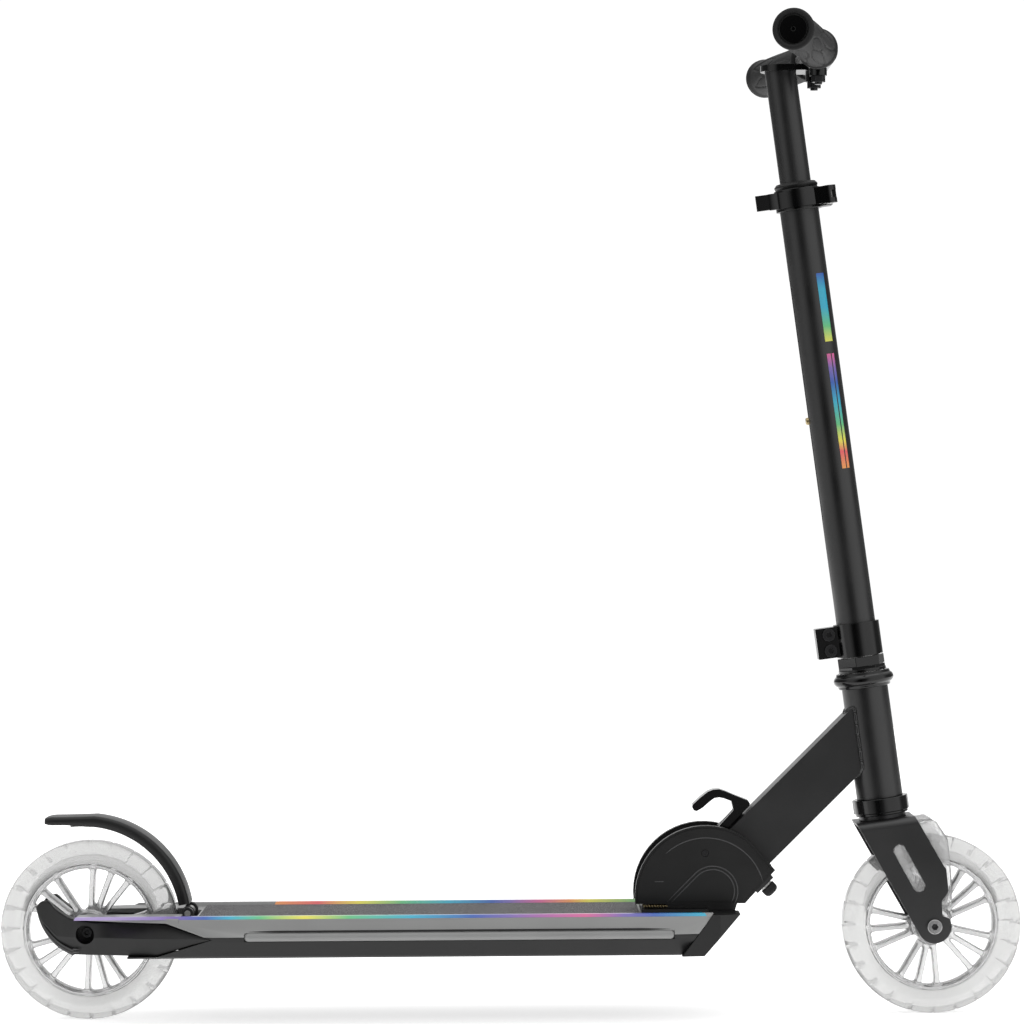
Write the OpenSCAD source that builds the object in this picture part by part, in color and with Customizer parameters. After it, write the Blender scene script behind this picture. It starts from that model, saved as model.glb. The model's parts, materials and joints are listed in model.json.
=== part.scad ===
// Folding kick scooter with two wheels, an adjustable stem and a rear fender brake.
// Frame: +X forward, +Y to the rider's left, +Z up. The origin is on the ground midway
// between the wheels. "Right" parts lie at -Y and "left" parts at +Y.

/* [Wheels] */
// Distance between the two axles
wheelbase = 686; // [684:1:688]
// Outer diameter of both wheels
wheel_d = 145; // [143:1:145]
// Width of the tyre
tyre_w = 24; // [22:1:24]
// Width of one spoke seen from the side
spoke_w = 4.2; // [3.4:0.2:4.6]

/* [Deck] */
// Height of the top of the edge rails
deck_top = 88; // [88:0.5:88.5]
// Height of the underside
deck_bottom = 54; // [53:0.5:55]
// Widest width of the deck, along its side ridge
deck_w = 134; // [132:1:136]
// Height of the ridge where the upper and lower side faces meet
ridge_z = 72; // [71:0.5:73]
// Thickness of the deck sheet and the tray walls
deck_wall = 3; // [2.5:0.5:3.5]

/* [Folding hinge] */
// Forward position of the fold pivot
pivot_x = 163.2; // [163:0.1:163.4]
// Height of the fold pivot
pivot_z = 106; // [105.8:0.1:106.2]
// Rise angle of the neck strut
strut_angle = 44.5; // [44.3:0.1:44.7]
// Height of the strut's section, seen from the side
strut_h = 42.4; // [42:0.1:42.6]
// Width of the strut's section
strut_w = 29; // [28:0.5:29]

/* [Steering] */
// Backward lean of the steering axis
head_lean = 7.4; // [7.3:0.1:7.5]
// Outer diameter of the lower stem tube
lower_tube_d = 31.8; // [31.6:0.1:31.8]
// Outer diameter of the sliding upper tube
upper_tube_d = 25.4; // [25.2:0.1:25.4]
// Outer width across the fork legs
fork_w = 57; // [56:0.5:58]
// Thickness of the fork plate
fork_t = 3.5; // [3:0.5:3.5]

/* [Handlebar] */
// Height of the bar's middle
bar_z = 782; // [781:0.5:783]
// Outer diameter of the bar tube
bar_d = 22.2; // [22:0.1:22.2]
// Backward sweep of each grip
bar_sweep = 13; // [12:0.5:14]
// Length of one grip
grip_l = 130; // [126:1:132]

/* [Hidden] */
$fn = 64;

// Small values shared by many parts
gap = 0.3;
eps = 0.05;
over = 1;
far = 400;

// Wheels
axle_z = wheel_d / 2;
front_x = wheelbase / 2;
rear_x = -wheelbase / 2;
rim_r = axle_z - 18.5;
rim_in_r = rim_r - 3.5;
rim_w = tyre_w - 4;
hub_r = 15.5;
bearing_r = 11;
bearing_w = 7;
axle_r = 4;
screw_r = 3;
core_r = 6.1;
magnet_r = 8.5;
front_group_angle = -31;
rear_group_angle = -3;

// Deck
deck_half = deck_w / 2;
rail_out = deck_half - 8.5;
rail_in = rail_out - 5;
tape_z = deck_top - 3;
deck_front = 162.6;
slot_x = -254;
slot_half = 24;
brake_pivot = [-262, 86.9];
dropout_in = 20;
dropout_t = 3.8;
cover_in = dropout_in + dropout_t + eps;
trim_r = 3.4;
trim_z = 71.8;
trim_in = deck_half - 2.4;
trim_back = -213;
trim_front = 131;

// Hinge
bracket_in = 15;
bracket_t = 3;
cover_out = 26.5;
pivot_r = 5;
stop_t = 31.2;
lever_t = 33;

// Steering, measured along the leaning axis from the ground
stem_foot_x = 325;
crown_w = 160;
head_low = 177;
head_high = 268;
lower_r = lower_tube_d / 2;
lower_in_r = 14.1;
steerer_r = 14;
upper_r = upper_tube_d / 2;
upper_in_r = upper_r - 1.6;
tube_low = 293.4;
tube_high = 678;
collar_low = 660.5;
collar_r = 18.7;
clamp_low = 294;
clamp_high = 321;
clamp_bolt_z = [301, 314.2];
button_w = 489;
front_u = (front_x - stem_foot_x) * cos(head_lean) + axle_z * sin(head_lean);
front_w = -(front_x - stem_foot_x) * sin(head_lean) + axle_z * cos(head_lean);

// Handlebar
bar_r = bar_d / 2;
bar_x = 254.5;
elbow_y = 32.8;
grip_start = 7;
grip_flange_r = 16.5;
plate_low = 768;
plate_high = 773;
bar_bolt_y = 22;

// ---------- helpers ----------

// Points along an arc of radius r about c
function arc(c, r, a0, a1, n) =
    [for (i = [0:n]) c + r * [cos(a0 + (a1 - a0) * i / n), sin(a0 + (a1 - a0) * i / n)]];

// Extrudes an X-Z outline from y0 to y1
module along_y(y0, y1) {
    translate([0, y1, 0]) rotate([90, 0, 0]) linear_extrude(y1 - y0) children();
}

// Extrudes a Y-Z outline from x0 to x1
module along_x(x0, x1) {
    translate([x0, 0, 0]) rotate([90, 0, 90]) linear_extrude(x1 - x0) children();
}

// Round pin about a line parallel to Y
module pin_y(r, y0, y1) {
    translate([0, y1, 0]) rotate([90, 0, 0]) cylinder(r = r, h = y1 - y0);
}

// Ring about Z
module ring(r_in, r_out, z0, z1) {
    translate([0, 0, z0]) difference() {
        cylinder(r = r_out, h = z1 - z0);
        translate([0, 0, -over]) cylinder(r = r_in, h = z1 - z0 + 2 * over);
    }
}

// Both a shape and its mirror image in the X-Z plane
module both_sides() {
    children();
    mirror([0, 1, 0]) children();
}

// Frame whose Z runs up the steering axis and whose X points forward
module stem_frame() {
    translate([stem_foot_x, 0, 0]) rotate([0, -head_lean, 0]) children();
}

// Frame at the fold pivot whose X runs up the strut
module strut_frame() {
    translate([pivot_x, 0, pivot_z]) rotate([0, -strut_angle, 0]) children();
}

// Frame of a wheel: Z runs to the rider's right along the axle
module wheel_frame(x) {
    translate([x, 0, axle_z]) rotate([90, 0, 0]) children();
}

// Helical spring about Z from z = 0, as one closed tube
module coil_spring(r, wire_r, turns, length, sides = 6, steps = 12) {
    n = turns * steps;
    points = [
        for (i = [0:n]) for (k = [0:sides - 1])
            let (a = 360 * i / steps, b = 360 * k / sides, rr = r + wire_r * cos(b))
            [rr * cos(a), rr * sin(a), length * i / n + wire_r * sin(b)]
    ];
    quads = [
        for (i = [0:n - 1]) for (k = [0:sides - 1])
            let (a = i * sides + k, b = i * sides + (k + 1) % sides)
            [a, a + sides, b + sides, b]
    ];
    start_cap = [for (k = [0:sides - 1]) k];
    end_cap = [for (k = [sides - 1:-1:0]) n * sides + k];
    polyhedron(points, concat([start_cap], quads, [end_cap]));
}

// ---------- wheels ----------

// One tyre: straight sides and rounded shoulders
module tyre(x) {
    half = tyre_w / 2;
    shoulder = 5;
    section = concat(
        [[rim_r, -rim_w / 2], [rim_r + 6, -half]],
        arc([axle_z - shoulder, -half + shoulder], shoulder, -90, 0, 6),
        arc([axle_z - shoulder, half - shoulder], shoulder, 0, 90, 6),
        [[rim_r + 6, half], [rim_r, rim_w / 2]]
    );
    color("gainsboro") wheel_frame(x) rotate_extrude($fn = 120) polygon(section);
}

// One rim: a hoop and a hub joined by five groups of three spokes
module rim(x, group_angle) {
    color("white") wheel_frame(x) difference() {
        union() {
            ring(rim_in_r, rim_r - eps, -rim_w / 2, rim_w / 2);
            cylinder(r = hub_r, h = tyre_w, center = true);
            for (group = [0:4]) for (spoke = [-1:1])
                rotate([0, 0, group_angle + 72 * group + 18 * spoke])
                    translate([hub_r - over, -spoke_w / 2, -rim_w / 2 + 2])
                        cube([rim_in_r - hub_r + 2 * over, spoke_w, rim_w - 4]);
        }
        cylinder(r = magnet_r + 0.5, h = far, center = true);
        for (side = [-1, 1])
            translate([0, 0, side * (tyre_w / 2 - bearing_w / 2 + over / 2)])
                cylinder(r = bearing_r, h = bearing_w + over, center = true);
    }
}

// Two sealed ball bearings at the ends of one hub
module bearings(x) {
    color("silver") wheel_frame(x) for (side = [-1, 1])
        translate([0, 0, side * (tyre_w - bearing_w) / 2]) difference() {
            cylinder(r = bearing_r - eps, h = bearing_w, center = true);
            cylinder(r = core_r + eps, h = far, center = true);
            for (face = [-1, 1])
                translate([0, 0, face * bearing_w / 2]) ring(7, 9.6, -0.6, 0.6);
        }
}

// Fixed spacer and magnet ring that the bearings turn around
module magnet_core(x, half_width) {
    color("darkgray") wheel_frame(x) difference() {
        union() {
            cylinder(r = core_r, h = 2 * half_width, center = true);
            cylinder(r = magnet_r, h = tyre_w - 2 * bearing_w - 2 * gap, center = true);
            for (side = [-1, 1])
                translate([0, 0, side * (half_width + tyre_w / 2 + gap) / 2])
                    cylinder(r = 7.5, h = half_width - tyre_w / 2 - gap, center = true);
        }
        cylinder(r = axle_r + eps, h = far, center = true);
    }
}

// Threaded axle sleeve between two plates
module axle_sleeve(x, half_width) {
    color("dimgray") wheel_frame(x)
        ring(screw_r + eps, axle_r, -half_width + eps, half_width - eps);
}

// Two hex-socket screws, one at each end of an axle sleeve
module axle_screws(x, half_width, plate_t, head_r, head_h) {
    color("silver") wheel_frame(x) for (side = [0, 1]) mirror([0, 0, side]) difference() {
        union() {
            translate([0, 0, half_width - 12]) cylinder(r = screw_r, h = 12 + plate_t + over);
            translate([0, 0, half_width + plate_t + eps]) cylinder(r = head_r, h = head_h);
        }
        translate([0, 0, half_width + plate_t + head_h - 2.2])
            cylinder(r = head_r * 0.45, h = 2 * over + 2.2, $fn = 6);
    }
}

module front_tyre() { tyre(front_x); }
module front_rim() { rim(front_x, front_group_angle); }
module front_bearings() { bearings(front_x); }
module front_magnet_core() { magnet_core(front_x, fork_w / 2 - fork_t - eps); }
module front_axle() { axle_sleeve(front_x, fork_w / 2 - fork_t); }
module front_axle_screws() { axle_screws(front_x, fork_w / 2 - fork_t, fork_t, 5.85, 3.4); }
module rear_tyre() { tyre(rear_x); }
module rear_rim() { rim(rear_x, rear_group_angle); }
module rear_bearings() { bearings(rear_x); }
module rear_magnet_core() { magnet_core(rear_x, dropout_in - eps); }
module rear_axle() { axle_sleeve(rear_x, dropout_in); }
module rear_axle_screws() { axle_screws(rear_x, dropout_in, dropout_t, 4.25, 5); }

// ---------- deck ----------

// Half of the deck's plan, widest over its long middle
module plan_outline() {
    half = [
        [188, 54], [168, 62], [132, deck_half], [-238, deck_half], [-300, 56], [-343, 44],
        [-366, 34], [-386, 26]
    ];
    polygon(concat(half, [for (i = [len(half) - 1:-1:0]) [half[i][0], -half[i][1]]]));
}

module plan_block() {
    translate([0, 0, -over]) linear_extrude(2 * deck_top) plan_outline();
}

// Outline of a rear cover seen from the side
module cover_outline(grow = 0) {
    top = 82.5 + grow;
    bottom = deck_bottom + 2 - grow;
    polygon(concat(
        [[-240 + 2 * grow, 70], [-276, top], [-338, top + 1]],
        arc([-342, 123 + 1 * grow], 39.5, -95, -138, 6),
        [[-374, 99 + grow], [-379.5, 96.5 + grow], [-382, 92]],
        arc([-315, 101.5], 67.6, 188, 236, 6),
        [[-352.6 - grow, bottom], [-284, bottom]]
    ));
}

// Forward position of the slanted joint behind the nose cap, at height z
function nose_back(z) = deck_front + 0.5 - (deck_top - z) * 0.77;

// Everything in front of that joint
module nose_cut() {
    along_y(-far, far) polygon([
        [nose_back(0) - gap, 0], [far, 0], [far, deck_top + 9], [nose_back(deck_top + 9) - gap, deck_top + 9]
    ]);
}

// Pockets in both sides that the trims are glued into
module trim_pockets() {
    both_sides() translate([trim_back - eps, trim_in - eps, trim_z - trim_r - eps])
        cube([trim_front - trim_back + 2 * eps, 10, 2 * trim_r + 2 * eps]);
}

// Top sheet: flat floor, raised edge rails and sloping upper sides
module deck_plate() {
    half = [
        [rail_in - 2, tape_z], [rail_in, deck_top], [rail_out, deck_top], [rail_out + 2.5, tape_z],
        [deck_half, ridge_z + eps], [deck_half - 4.6, ridge_z + eps],
        [rail_out - 0.8, tape_z - deck_wall]
    ];
    color("darkgray") difference() {
        intersection() {
            union() {
                along_x(-350, deck_front) polygon(concat(
                    half, [for (i = [len(half) - 1:-1:0]) [-half[i][0], half[i][1]]]
                ));
                translate([-350, -deck_half, tape_z - deck_wall])
                    cube([84, deck_w, deck_wall + 1.6]);
            }
            plan_block();
        }
        translate([slot_x - far, -slot_half, 0]) cube([far, 2 * slot_half, far]);
        both_sides() along_y(20, far) cover_outline(0.4);
        nose_cut();
        trim_pockets();
    }
}

// Underside tray with its sloping lower sides and the ribs that carry the sheet
module deck_tray() {
    half = [
        [deck_half - 0.2, ridge_z], [deck_half - 1.5, 68], [deck_half - 9, deck_bottom + 2],
        [deck_half - 13, deck_bottom]
    ];
    inner = [
        [deck_half - 5, ridge_z + over], [deck_half - 5, 68], [deck_half - 13, deck_bottom + deck_wall]
    ];
    color("dimgray") difference() {
        intersection() {
            union() {
                along_x(-308, deck_front) difference() {
                    polygon(concat(
                        half, [for (i = [len(half) - 1:-1:0]) [-half[i][0], half[i][1]]]
                    ));
                    polygon(concat(
                        inner, [for (i = [len(inner) - 1:-1:0]) [-inner[i][0], inner[i][1]]]
                    ));
                }
                for (y = [-42, -14, 14, 42])
                    translate([-250, y - 1.5, deck_bottom + over])
                        cube([deck_front + 250, 3, tape_z - deck_wall - deck_bottom - over - eps]);
            }
            plan_block();
        }
        translate([slot_x - far, -slot_half, 0]) cube([far, 2 * slot_half, far]);
        both_sides() along_y(20, far) cover_outline(0.4);
        nose_cut();
        trim_pockets();
    }
}

// Raised bars with a rounded face along both sides
module side_trims() {
    section = arc([trim_in, trim_z], trim_r, -90, 90, 8);
    plan = concat(
        [[trim_back, trim_in + eps], [trim_front, trim_in + eps]],
        arc([trim_front - trim_r, trim_in], trim_r + eps, 0, 90, 6),
        arc([trim_back + trim_r, trim_in], trim_r + eps, 90, 180, 6)
    );
    color("darkgray") both_sides() intersection() {
        along_x(trim_back, trim_front) polygon(section);
        linear_extrude(deck_top) polygon(plan);
    }
}

// Abrasive sheet between the rails
module grip_tape() {
    color("gray") translate([-252, -rail_in + 3, tape_z + eps])
        cube([356, 2 * rail_in - 6, 1]);
}

// Sloping front cap with five ribs
module nose_cap() {
    top = tape_z + 1.6;
    wall = [[nose_back(top), top], [184.6, top], [155, deck_bottom],
        [nose_back(deck_bottom), deck_bottom]];
    rib_count = 5;
    color("dimgray") difference() {
        intersection() {
            union() {
                along_y(-deck_half, deck_half) polygon(wall);
                for (i = [0:rib_count - 1])
                    along_y(-50, 50) translate([157 + 5.6 * i, deck_bottom + 3 + 6.2 * i])
                        rotate(47) square([3, 3], center = true);
            }
            plan_block();
        }
        along_y(-44, 44) polygon([[nose_back(82) - over, 82], [175, 82], [153, 57.5],
            [nose_back(57.5) - over, 57.5]]);
        translate([100, -cover_out - gap, tape_z]) cube([100, 2 * cover_out + 2 * gap, 20]);
    }
}

// Two steel plates that hold the rear axle
module rear_dropouts() {
    low = deck_bottom + deck_wall + eps;
    high = tape_z - deck_wall - eps;
    outline = concat(
        [[-232, high], [-232, low], [brake_pivot[0], low], [rear_x, axle_z - 12]],
        arc([rear_x, axle_z], 12, -90, -270, 10),
        [[brake_pivot[0] - 6, high]],
        arc(brake_pivot, 5, 180, 0, 10),
        [[brake_pivot[0] + 5, high]]
    );
    color("dimgray") both_sides() difference() {
        along_y(dropout_in, dropout_in + dropout_t) polygon(outline);
        translate([rear_x, 0, axle_z]) pin_y(screw_r + eps, 0, far);
        translate([brake_pivot[0], 0, brake_pivot[1]]) pin_y(2.5 + eps, 0, far);
    }
}

// Rear side cover with its axle recess and upturned tail
module rear_cover_right() {
    half = [
        [cover_in, 50], [deck_half - 13, deck_bottom], [deck_half - 1.5, 68], [deck_half, ridge_z],
        [rail_out + 2.5, tape_z], [45, 110], [cover_in, 110]
    ];
    inner = [
        [cover_in - over, deck_bottom + 5], [deck_half - 14, deck_bottom + 6],
        [deck_half - 6, ridge_z - 1], [deck_half - 10, 79], [cover_in - over, 79]
    ];
    color("dimgray") mirror([0, 1, 0]) difference() {
        intersection() {
            along_y(cover_in, deck_half) cover_outline();
            along_x(-far, -200) polygon(half);
            plan_block();
        }
        intersection() {
            along_x(-332, -262) polygon(inner);
            translate([4, -3.5, 0]) plan_block();
        }
        translate([rear_x, 0, axle_z]) pin_y(7.75, cover_in + 1.8, far);
        translate([rear_x, 0, axle_z]) pin_y(screw_r + 2, 0, far);
    }
}
module rear_cover_left() { mirror([0, 1, 0]) rear_cover_right(); }

// ---------- folding hinge ----------

// Fan-shaped outline shared by the hinge plates and their covers
module fan_outline(inset = 0) {
    centre = [158.3, 97.7];
    r = 57.5 - inset;
    low = 92.2 + inset;
    polygon(concat(
        arc(centre, r, 187, 54, 20),
        [[214.6 - 1.6 * inset, 118.8], [190 - inset, low], [101.5 + inset, low]]
    ));
}

// Steel base on the deck with two upright plates
module hinge_bracket() {
    base_t = 3;
    color("gray") difference() {
        union() {
            both_sides() along_y(bracket_in, bracket_in + bracket_t) union() {
                fan_outline(5);
                polygon([[108, tape_z], [182, tape_z], [186, 98], [108, 98]]);
            }
            translate([106, -30, tape_z + eps]) cube([54, 60, base_t]);
            strut_frame() translate([stop_t - 9, -bracket_in - eps, -strut_h / 2 - 9.8])
                cube([18, 2 * bracket_in + 2 * eps, 3.6]);
            strut_frame() both_sides() translate([stop_t - 9, bracket_in, -strut_h / 2 - 9.8])
                cube([18, bracket_t, 25]);
        }
        translate([pivot_x, 0, pivot_z]) pin_y(pivot_r + eps, -far, far);
        strut_frame() translate([stop_t, 0, -strut_h / 2 - 20]) cylinder(r = 2.6, h = 30);
    }
}

// Moulded cover over one hinge plate, with a raised loop around the pivot
module hinge_cover_right() {
    skin = 2.6;
    inner = bracket_in + bracket_t + 0.1;
    color("dimgray") mirror([0, 1, 0]) difference() {
        union() {
            along_y(inner, cover_out - 1) fan_outline();
            along_y(inner, cover_out) fan_outline(2.2);
        }
        along_y(0, cover_out - skin) fan_outline(6);
        translate([157.9, 0, 133]) pin_y(1.6, 0, far);
        translate([157.9, 0, 133]) pin_y(3, cover_out - 1.4, far);
    }
}
module hinge_cover_left() { mirror([0, 1, 0]) hinge_cover_right(); }

// Bolt that the neck folds about, with its nut on the left
module fold_pivot_bolt() {
    head_y = bracket_in + bracket_t + eps;
    color("silver") translate([pivot_x, 0, pivot_z]) {
        pin_y(pivot_r, -head_y, head_y + 4.5);
        difference() {
            pin_y(7.5, -head_y - 4.5, -head_y);
            translate([0, -head_y - 3, 0]) rotate([90, 0, 0]) cylinder(r = 3.2, h = 5, $fn = 6);
        }
        translate([0, head_y, 0]) rotate([-90, 0, 0]) difference() {
            cylinder(r = 8, h = 4, $fn = 6);
            translate([0, 0, -over]) cylinder(r = pivot_r + eps, h = 7);
        }
    }
}

// Small screws that hold the hinge covers to the plates
module cover_screws() {
    color("silver") both_sides() translate([157.9, 0, 133]) {
        pin_y(1.55, bracket_in + bracket_t + eps, cover_out - 1);
        pin_y(2.8, cover_out - 1.35, cover_out - 0.3);
    }
}

// Adjustable stop that the strut rests on when open: a bolt with a jam nut
module stop_bolt() {
    color("silver") strut_frame() translate([stop_t, 0, -strut_h / 2]) {
        translate([0, 0, -15]) cylinder(r = 2.5, h = 15 - gap);
        translate([0, 0, -13]) difference() {
            cylinder(r = 5.2, h = 3.1, $fn = 6);
            translate([0, 0, -over]) cylinder(r = 2.5 + eps, h = 6);
        }
    }
}

// Rubber knob over the head of the stop bolt
module stop_knob() {
    knob_r = 6.2;
    color("dimgray") strut_frame() translate([stop_t, 0, -strut_h / 2 - 13.1]) rotate([180, 0, 0])
        difference() {
            rotate_extrude() polygon(concat(
                [[0, 0], [knob_r, 0]], arc([knob_r - 3.5, 4], 3.5, 0, 90, 6), [[0, 7.5]]
            ));
            translate([0, 0, -over]) cylinder(r = 2.5 + eps, h = 3);
        }
}

// Helper spring of the fold latch, lying beside the base
module latch_spring() {
    color("goldenrod") translate([107, -22, tape_z + 5.12]) rotate([0, 90, 0])
        coil_spring(1.55, 0.4, 9, 20);
}

// Outline of an ear that holds the lever pin and runs on along the strut
module lever_ear(run) {
    base = strut_h / 2;
    polygon([
        [lever_t - 9, base - 1], [lever_t - 4, base + 8], [lever_t + run, base + 7.4],
        [lever_t + run + 5, base - 1]
    ]);
}

// Box-section strut with the knuckle that turns on the pivot
module neck_strut() {
    tube_start = 27;
    tube_end = 220;
    wall = 3;
    knuckle_r = 15.5;
    half_h = strut_h / 2;
    half_w = strut_w / 2;
    color("dimgray") difference() {
        union() {
            strut_frame() difference() {
                along_y(-half_w, half_w) polygon(concat(
                    arc([0, 0], knuckle_r, 100, 260, 20),
                    [[tube_start, -half_h], [tube_end, -half_h], [tube_end, half_h],
                    [tube_start, half_h]]
                ));
                translate([tube_start + 4, -half_w + wall, -half_h + wall])
                    cube([tube_end, strut_w - 2 * wall, strut_h - 2 * wall]);
            }
            strut_frame() along_y(-12, -8.5) lever_ear(4);
            strut_frame() along_y(8.5, 12) lever_ear(22);
        }
        translate([pivot_x, 0, pivot_z]) pin_y(pivot_r + 0.06, -far, far);
        stem_frame() cylinder(r = 18.75 + eps, h = far);
        stem_frame() translate([0, -far, 0]) cube([far, 2 * far, 2 * far]);
        strut_frame() translate([lever_t, 0, half_h + 4.2]) pin_y(2 + eps, -far, far);
    }
}

// Tube that the steerer turns in
module head_tube() {
    color("dimgray") stem_frame() ring(17, 18.75, head_low + eps, head_high - eps);
}

// Headset cup with its rounded flange at the top end
module upper_cup() {
    flange_r = 24.5;
    color("black") stem_frame() rotate_extrude() polygon(concat(
        [[15.2, head_high - 8], [16.95, head_high - 8], [16.95, head_high], [21, head_high]],
        arc([flange_r - 4.5, head_high + 6.5], 4.5, -70, 60, 8),
        [[21.6, head_high + 12.6], [20.15, head_high + 12.6], [20.15, head_high + 6],
        [15.2, head_high + 6]]
    ));
}

// Nut-like cup at the bottom end of the head tube
module lower_cup() {
    cup_low = crown_w + 3.6;
    color("black") stem_frame() difference() {
        union() {
            translate([0, 0, cup_low + 2]) cylinder(r = 22.8, h = head_low - cup_low - 2, $fn = 12);
            translate([0, 0, cup_low]) cylinder(r = 21.4, h = 3);
            translate([0, 0, head_low - over]) cylinder(r = 16.95, h = 9);
        }
        translate([0, 0, cup_low - over]) cylinder(r = 20.2, h = 7.5 + over);
        cylinder(r = 15.2, h = far);
    }
}

// Caged ball race: a ring grooved on both faces
module ball_race(z0, z1) {
    color("silver") stem_frame() difference() {
        ring(15, 20.1, z0, z1);
        for (z = [z0, z1]) translate([0, 0, z]) ring(16.8, 18.6, -0.8, 0.8);
    }
}
module headset_bearings() {
    ball_race(head_high + 6.1, head_high + 12.3);
    ball_race(crown_w + 4, crown_w + 11);
}

// Pin that the fold lever turns on, held by two ears on the strut
module lever_pin() {
    color("silver") strut_frame() translate([lever_t, 0, strut_h / 2 + 4.2])
        pin_y(2, -12.8, 12.8);
}

// Hooked thumb lever that frees the fold
module fold_lever() {
    pivot_n = strut_h / 2 + 4.2;
    color("black") strut_frame() translate([lever_t, 0, pivot_n]) difference() {
        union() {
            pin_y(3.8, -8.2, 8.2);
            both_sides() along_y(3.2, 7.4) polygon([
                [-2, 3.1], [2.4, -2.9], [30, -2.5], [30, 8], [22, 4.2]
            ]);
            along_y(-8.2, 8.2) polygon([
                [34.5, -2.5], [36.1, -1.3], [36.8, 1.5], [31.7, 13.1], [29, 20], [26.6, 24.6],
                [22.9, 27.8], [18.5, 29.7], [11.1, 30.6], [2.4, 30.9], [0.6, 29.6], [-0.2, 27],
                [0.9, 24.9], [6.5, 23.4], [13.8, 23], [18.6, 22.3], [21.9, 19.9], [24.1, 16.5],
                [26.7, 10.8], [23, 4.8], [24.5, -2.5]
            ]);
        }
        pin_y(2 + 0.08, -far, far);
    }
}

// ---------- steering ----------

// Side outline of the fork: crown, legs, front notch and round dropouts
module fork_outline() {
    centre = [front_u, front_w];
    end_r = 13.8;
    polygon(concat(
        [[-23.7, crown_w], [24, crown_w], [41.6, 116.5]],
        arc([39, 113.5], 4, 40, -5, 4),
        [[42.4, 97.5], [41.4, 94.6], [35.9, 89.2], [34.7, 77.2]],
        arc(centre, end_r, 20, -150, 24)
    ));
}

// Slanted window through a fork leg
module fork_slot(r) {
    low = [19.4, 103.6];
    high = [7.6, 134.1];
    reach = high - low;
    translate(low) circle(r = r);
    translate(high) circle(r = r);
    translate(low) rotate(atan2(reach[1], reach[0])) translate([0, -r]) square([norm(reach), 2 * r]);
}

// U-shaped section of a bent plate, open at the bottom, with rounded upper corners
module bent_section(half, top, t, r) {
    difference() {
        polygon(concat([[half, 0]], arc([half - r, top - r], r, 0, 90, 6),
            arc([-half + r, top - r], r, 90, 180, 6), [[-half, 0]]));
        polygon(concat([[half - t, -over]], arc([half - r, top - r], r - t, 0, 90, 6),
            arc([-half + r, top - r], r - t, 90, 180, 6), [[-half + t, -over]]));
    }
}

// Bent steel fork
module fork() {
    half = fork_w / 2;
    color("dimgray") stem_frame() difference() {
        intersection() {
            along_y(-half, half) fork_outline();
            along_x(-60, 60) bent_section(half, crown_w, fork_t, 7);
        }
        along_y(-far, far) fork_slot(5.1);
        translate([front_u, 0, front_w]) pin_y(screw_r + eps, -far, far);
        cylinder(r = steerer_r + eps, h = far);
    }
}

// Clear plastic liner inside the fork, showing in front of the legs and in their windows
module fork_guard() {
    half = fork_w / 2 - fork_t - 0.1;
    top = crown_w - fork_t - 0.1;
    color("whitesmoke") stem_frame() difference() {
        union() {
            intersection() {
                along_x(-60, 60) bent_section(half, top, 2.4, 4);
                along_y(-half, half) polygon([
                    [-19, top], [36, top], [40.7, 152.9], [46.3, 141.6], [47.8, 137], [47.4, 121],
                    [46.6, 105], [44, 84], [37, 80],
                    [22, 88], [4, 112], [-14, 140]
                ]);
            }
            both_sides() along_y(half - over, half + fork_t - 0.4) fork_slot(4.9);
        }
        cylinder(r = steerer_r + 2.5, h = far);
    }
}

// Tube that joins the fork to the stem through the head tube
module steerer_tube() {
    color("gray") stem_frame() ring(steerer_r - 2.5, steerer_r, crown_w - fork_t, 345);
}

// Conical race on the fork crown under the lower bearing
module crown_race() {
    color("silver") stem_frame() ring(steerer_r + eps, 19, crown_w + eps, crown_w + 3.4);
}

// Keyed hexagonal washer over the upper bearing
module lock_washer() {
    color("silver") stem_frame() difference() {
        union() {
            translate([0, 0, head_high + 12.9]) cylinder(r = 19.4, h = 2.2);
            translate([0, 0, head_high + 15]) cylinder(r = 19, h = 2.4, $fn = 6);
        }
        cylinder(r = steerer_r + eps, h = far);
    }
}

// Hexagonal nut that sets the headset play
module lock_nut() {
    color("silver") stem_frame() difference() {
        translate([0, 0, head_high + 17.5]) rotate([0, 0, 12]) cylinder(r = 19.8, h = 7.6, $fn = 6);
        cylinder(r = steerer_r + eps, h = far);
    }
}

// Two-bolt clamp that locks the lower tube on the steerer
module lower_clamp() {
    r_out = 18.7;
    height = clamp_high - clamp_low;
    ear_end = -34.5;
    chamfer = 1.2;
    color("black") stem_frame() difference() {
        union() {
            translate([0, 0, clamp_low]) cylinder(r = r_out, h = height);
            along_y(-8.5, 8.5) polygon([
                [-12, clamp_low + over], [ear_end + chamfer, clamp_low + over],
                [ear_end, clamp_low + chamfer], [ear_end, clamp_high - chamfer],
                [ear_end + chamfer, clamp_high - over], [-12, clamp_high - over]
            ]);
        }
        cylinder(r = lower_r + eps, h = far);
        translate([-far, -1.3, 0]) cube([far, 2.6, far]);
        for (z = clamp_bolt_z) translate([-24, 0, z]) pin_y(2.6, -far, far);
        for (z = clamp_bolt_z) translate([-24, 0, z]) pin_y(5.6, -far, -6.5);
    }
}

// Two cap screws across the clamp's ears
module clamp_bolts() {
    color("silver") stem_frame() for (z = clamp_bolt_z) translate([-24, 0, z]) difference() {
        union() {
            pin_y(2.5, -8, 8.4);
            pin_y(5.2, -11, -6.5 - eps);
        }
        translate([0, -8.6, 0]) rotate([90, 0, 0]) cylinder(r = 2.6, h = 5, $fn = 6);
    }
}

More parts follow.
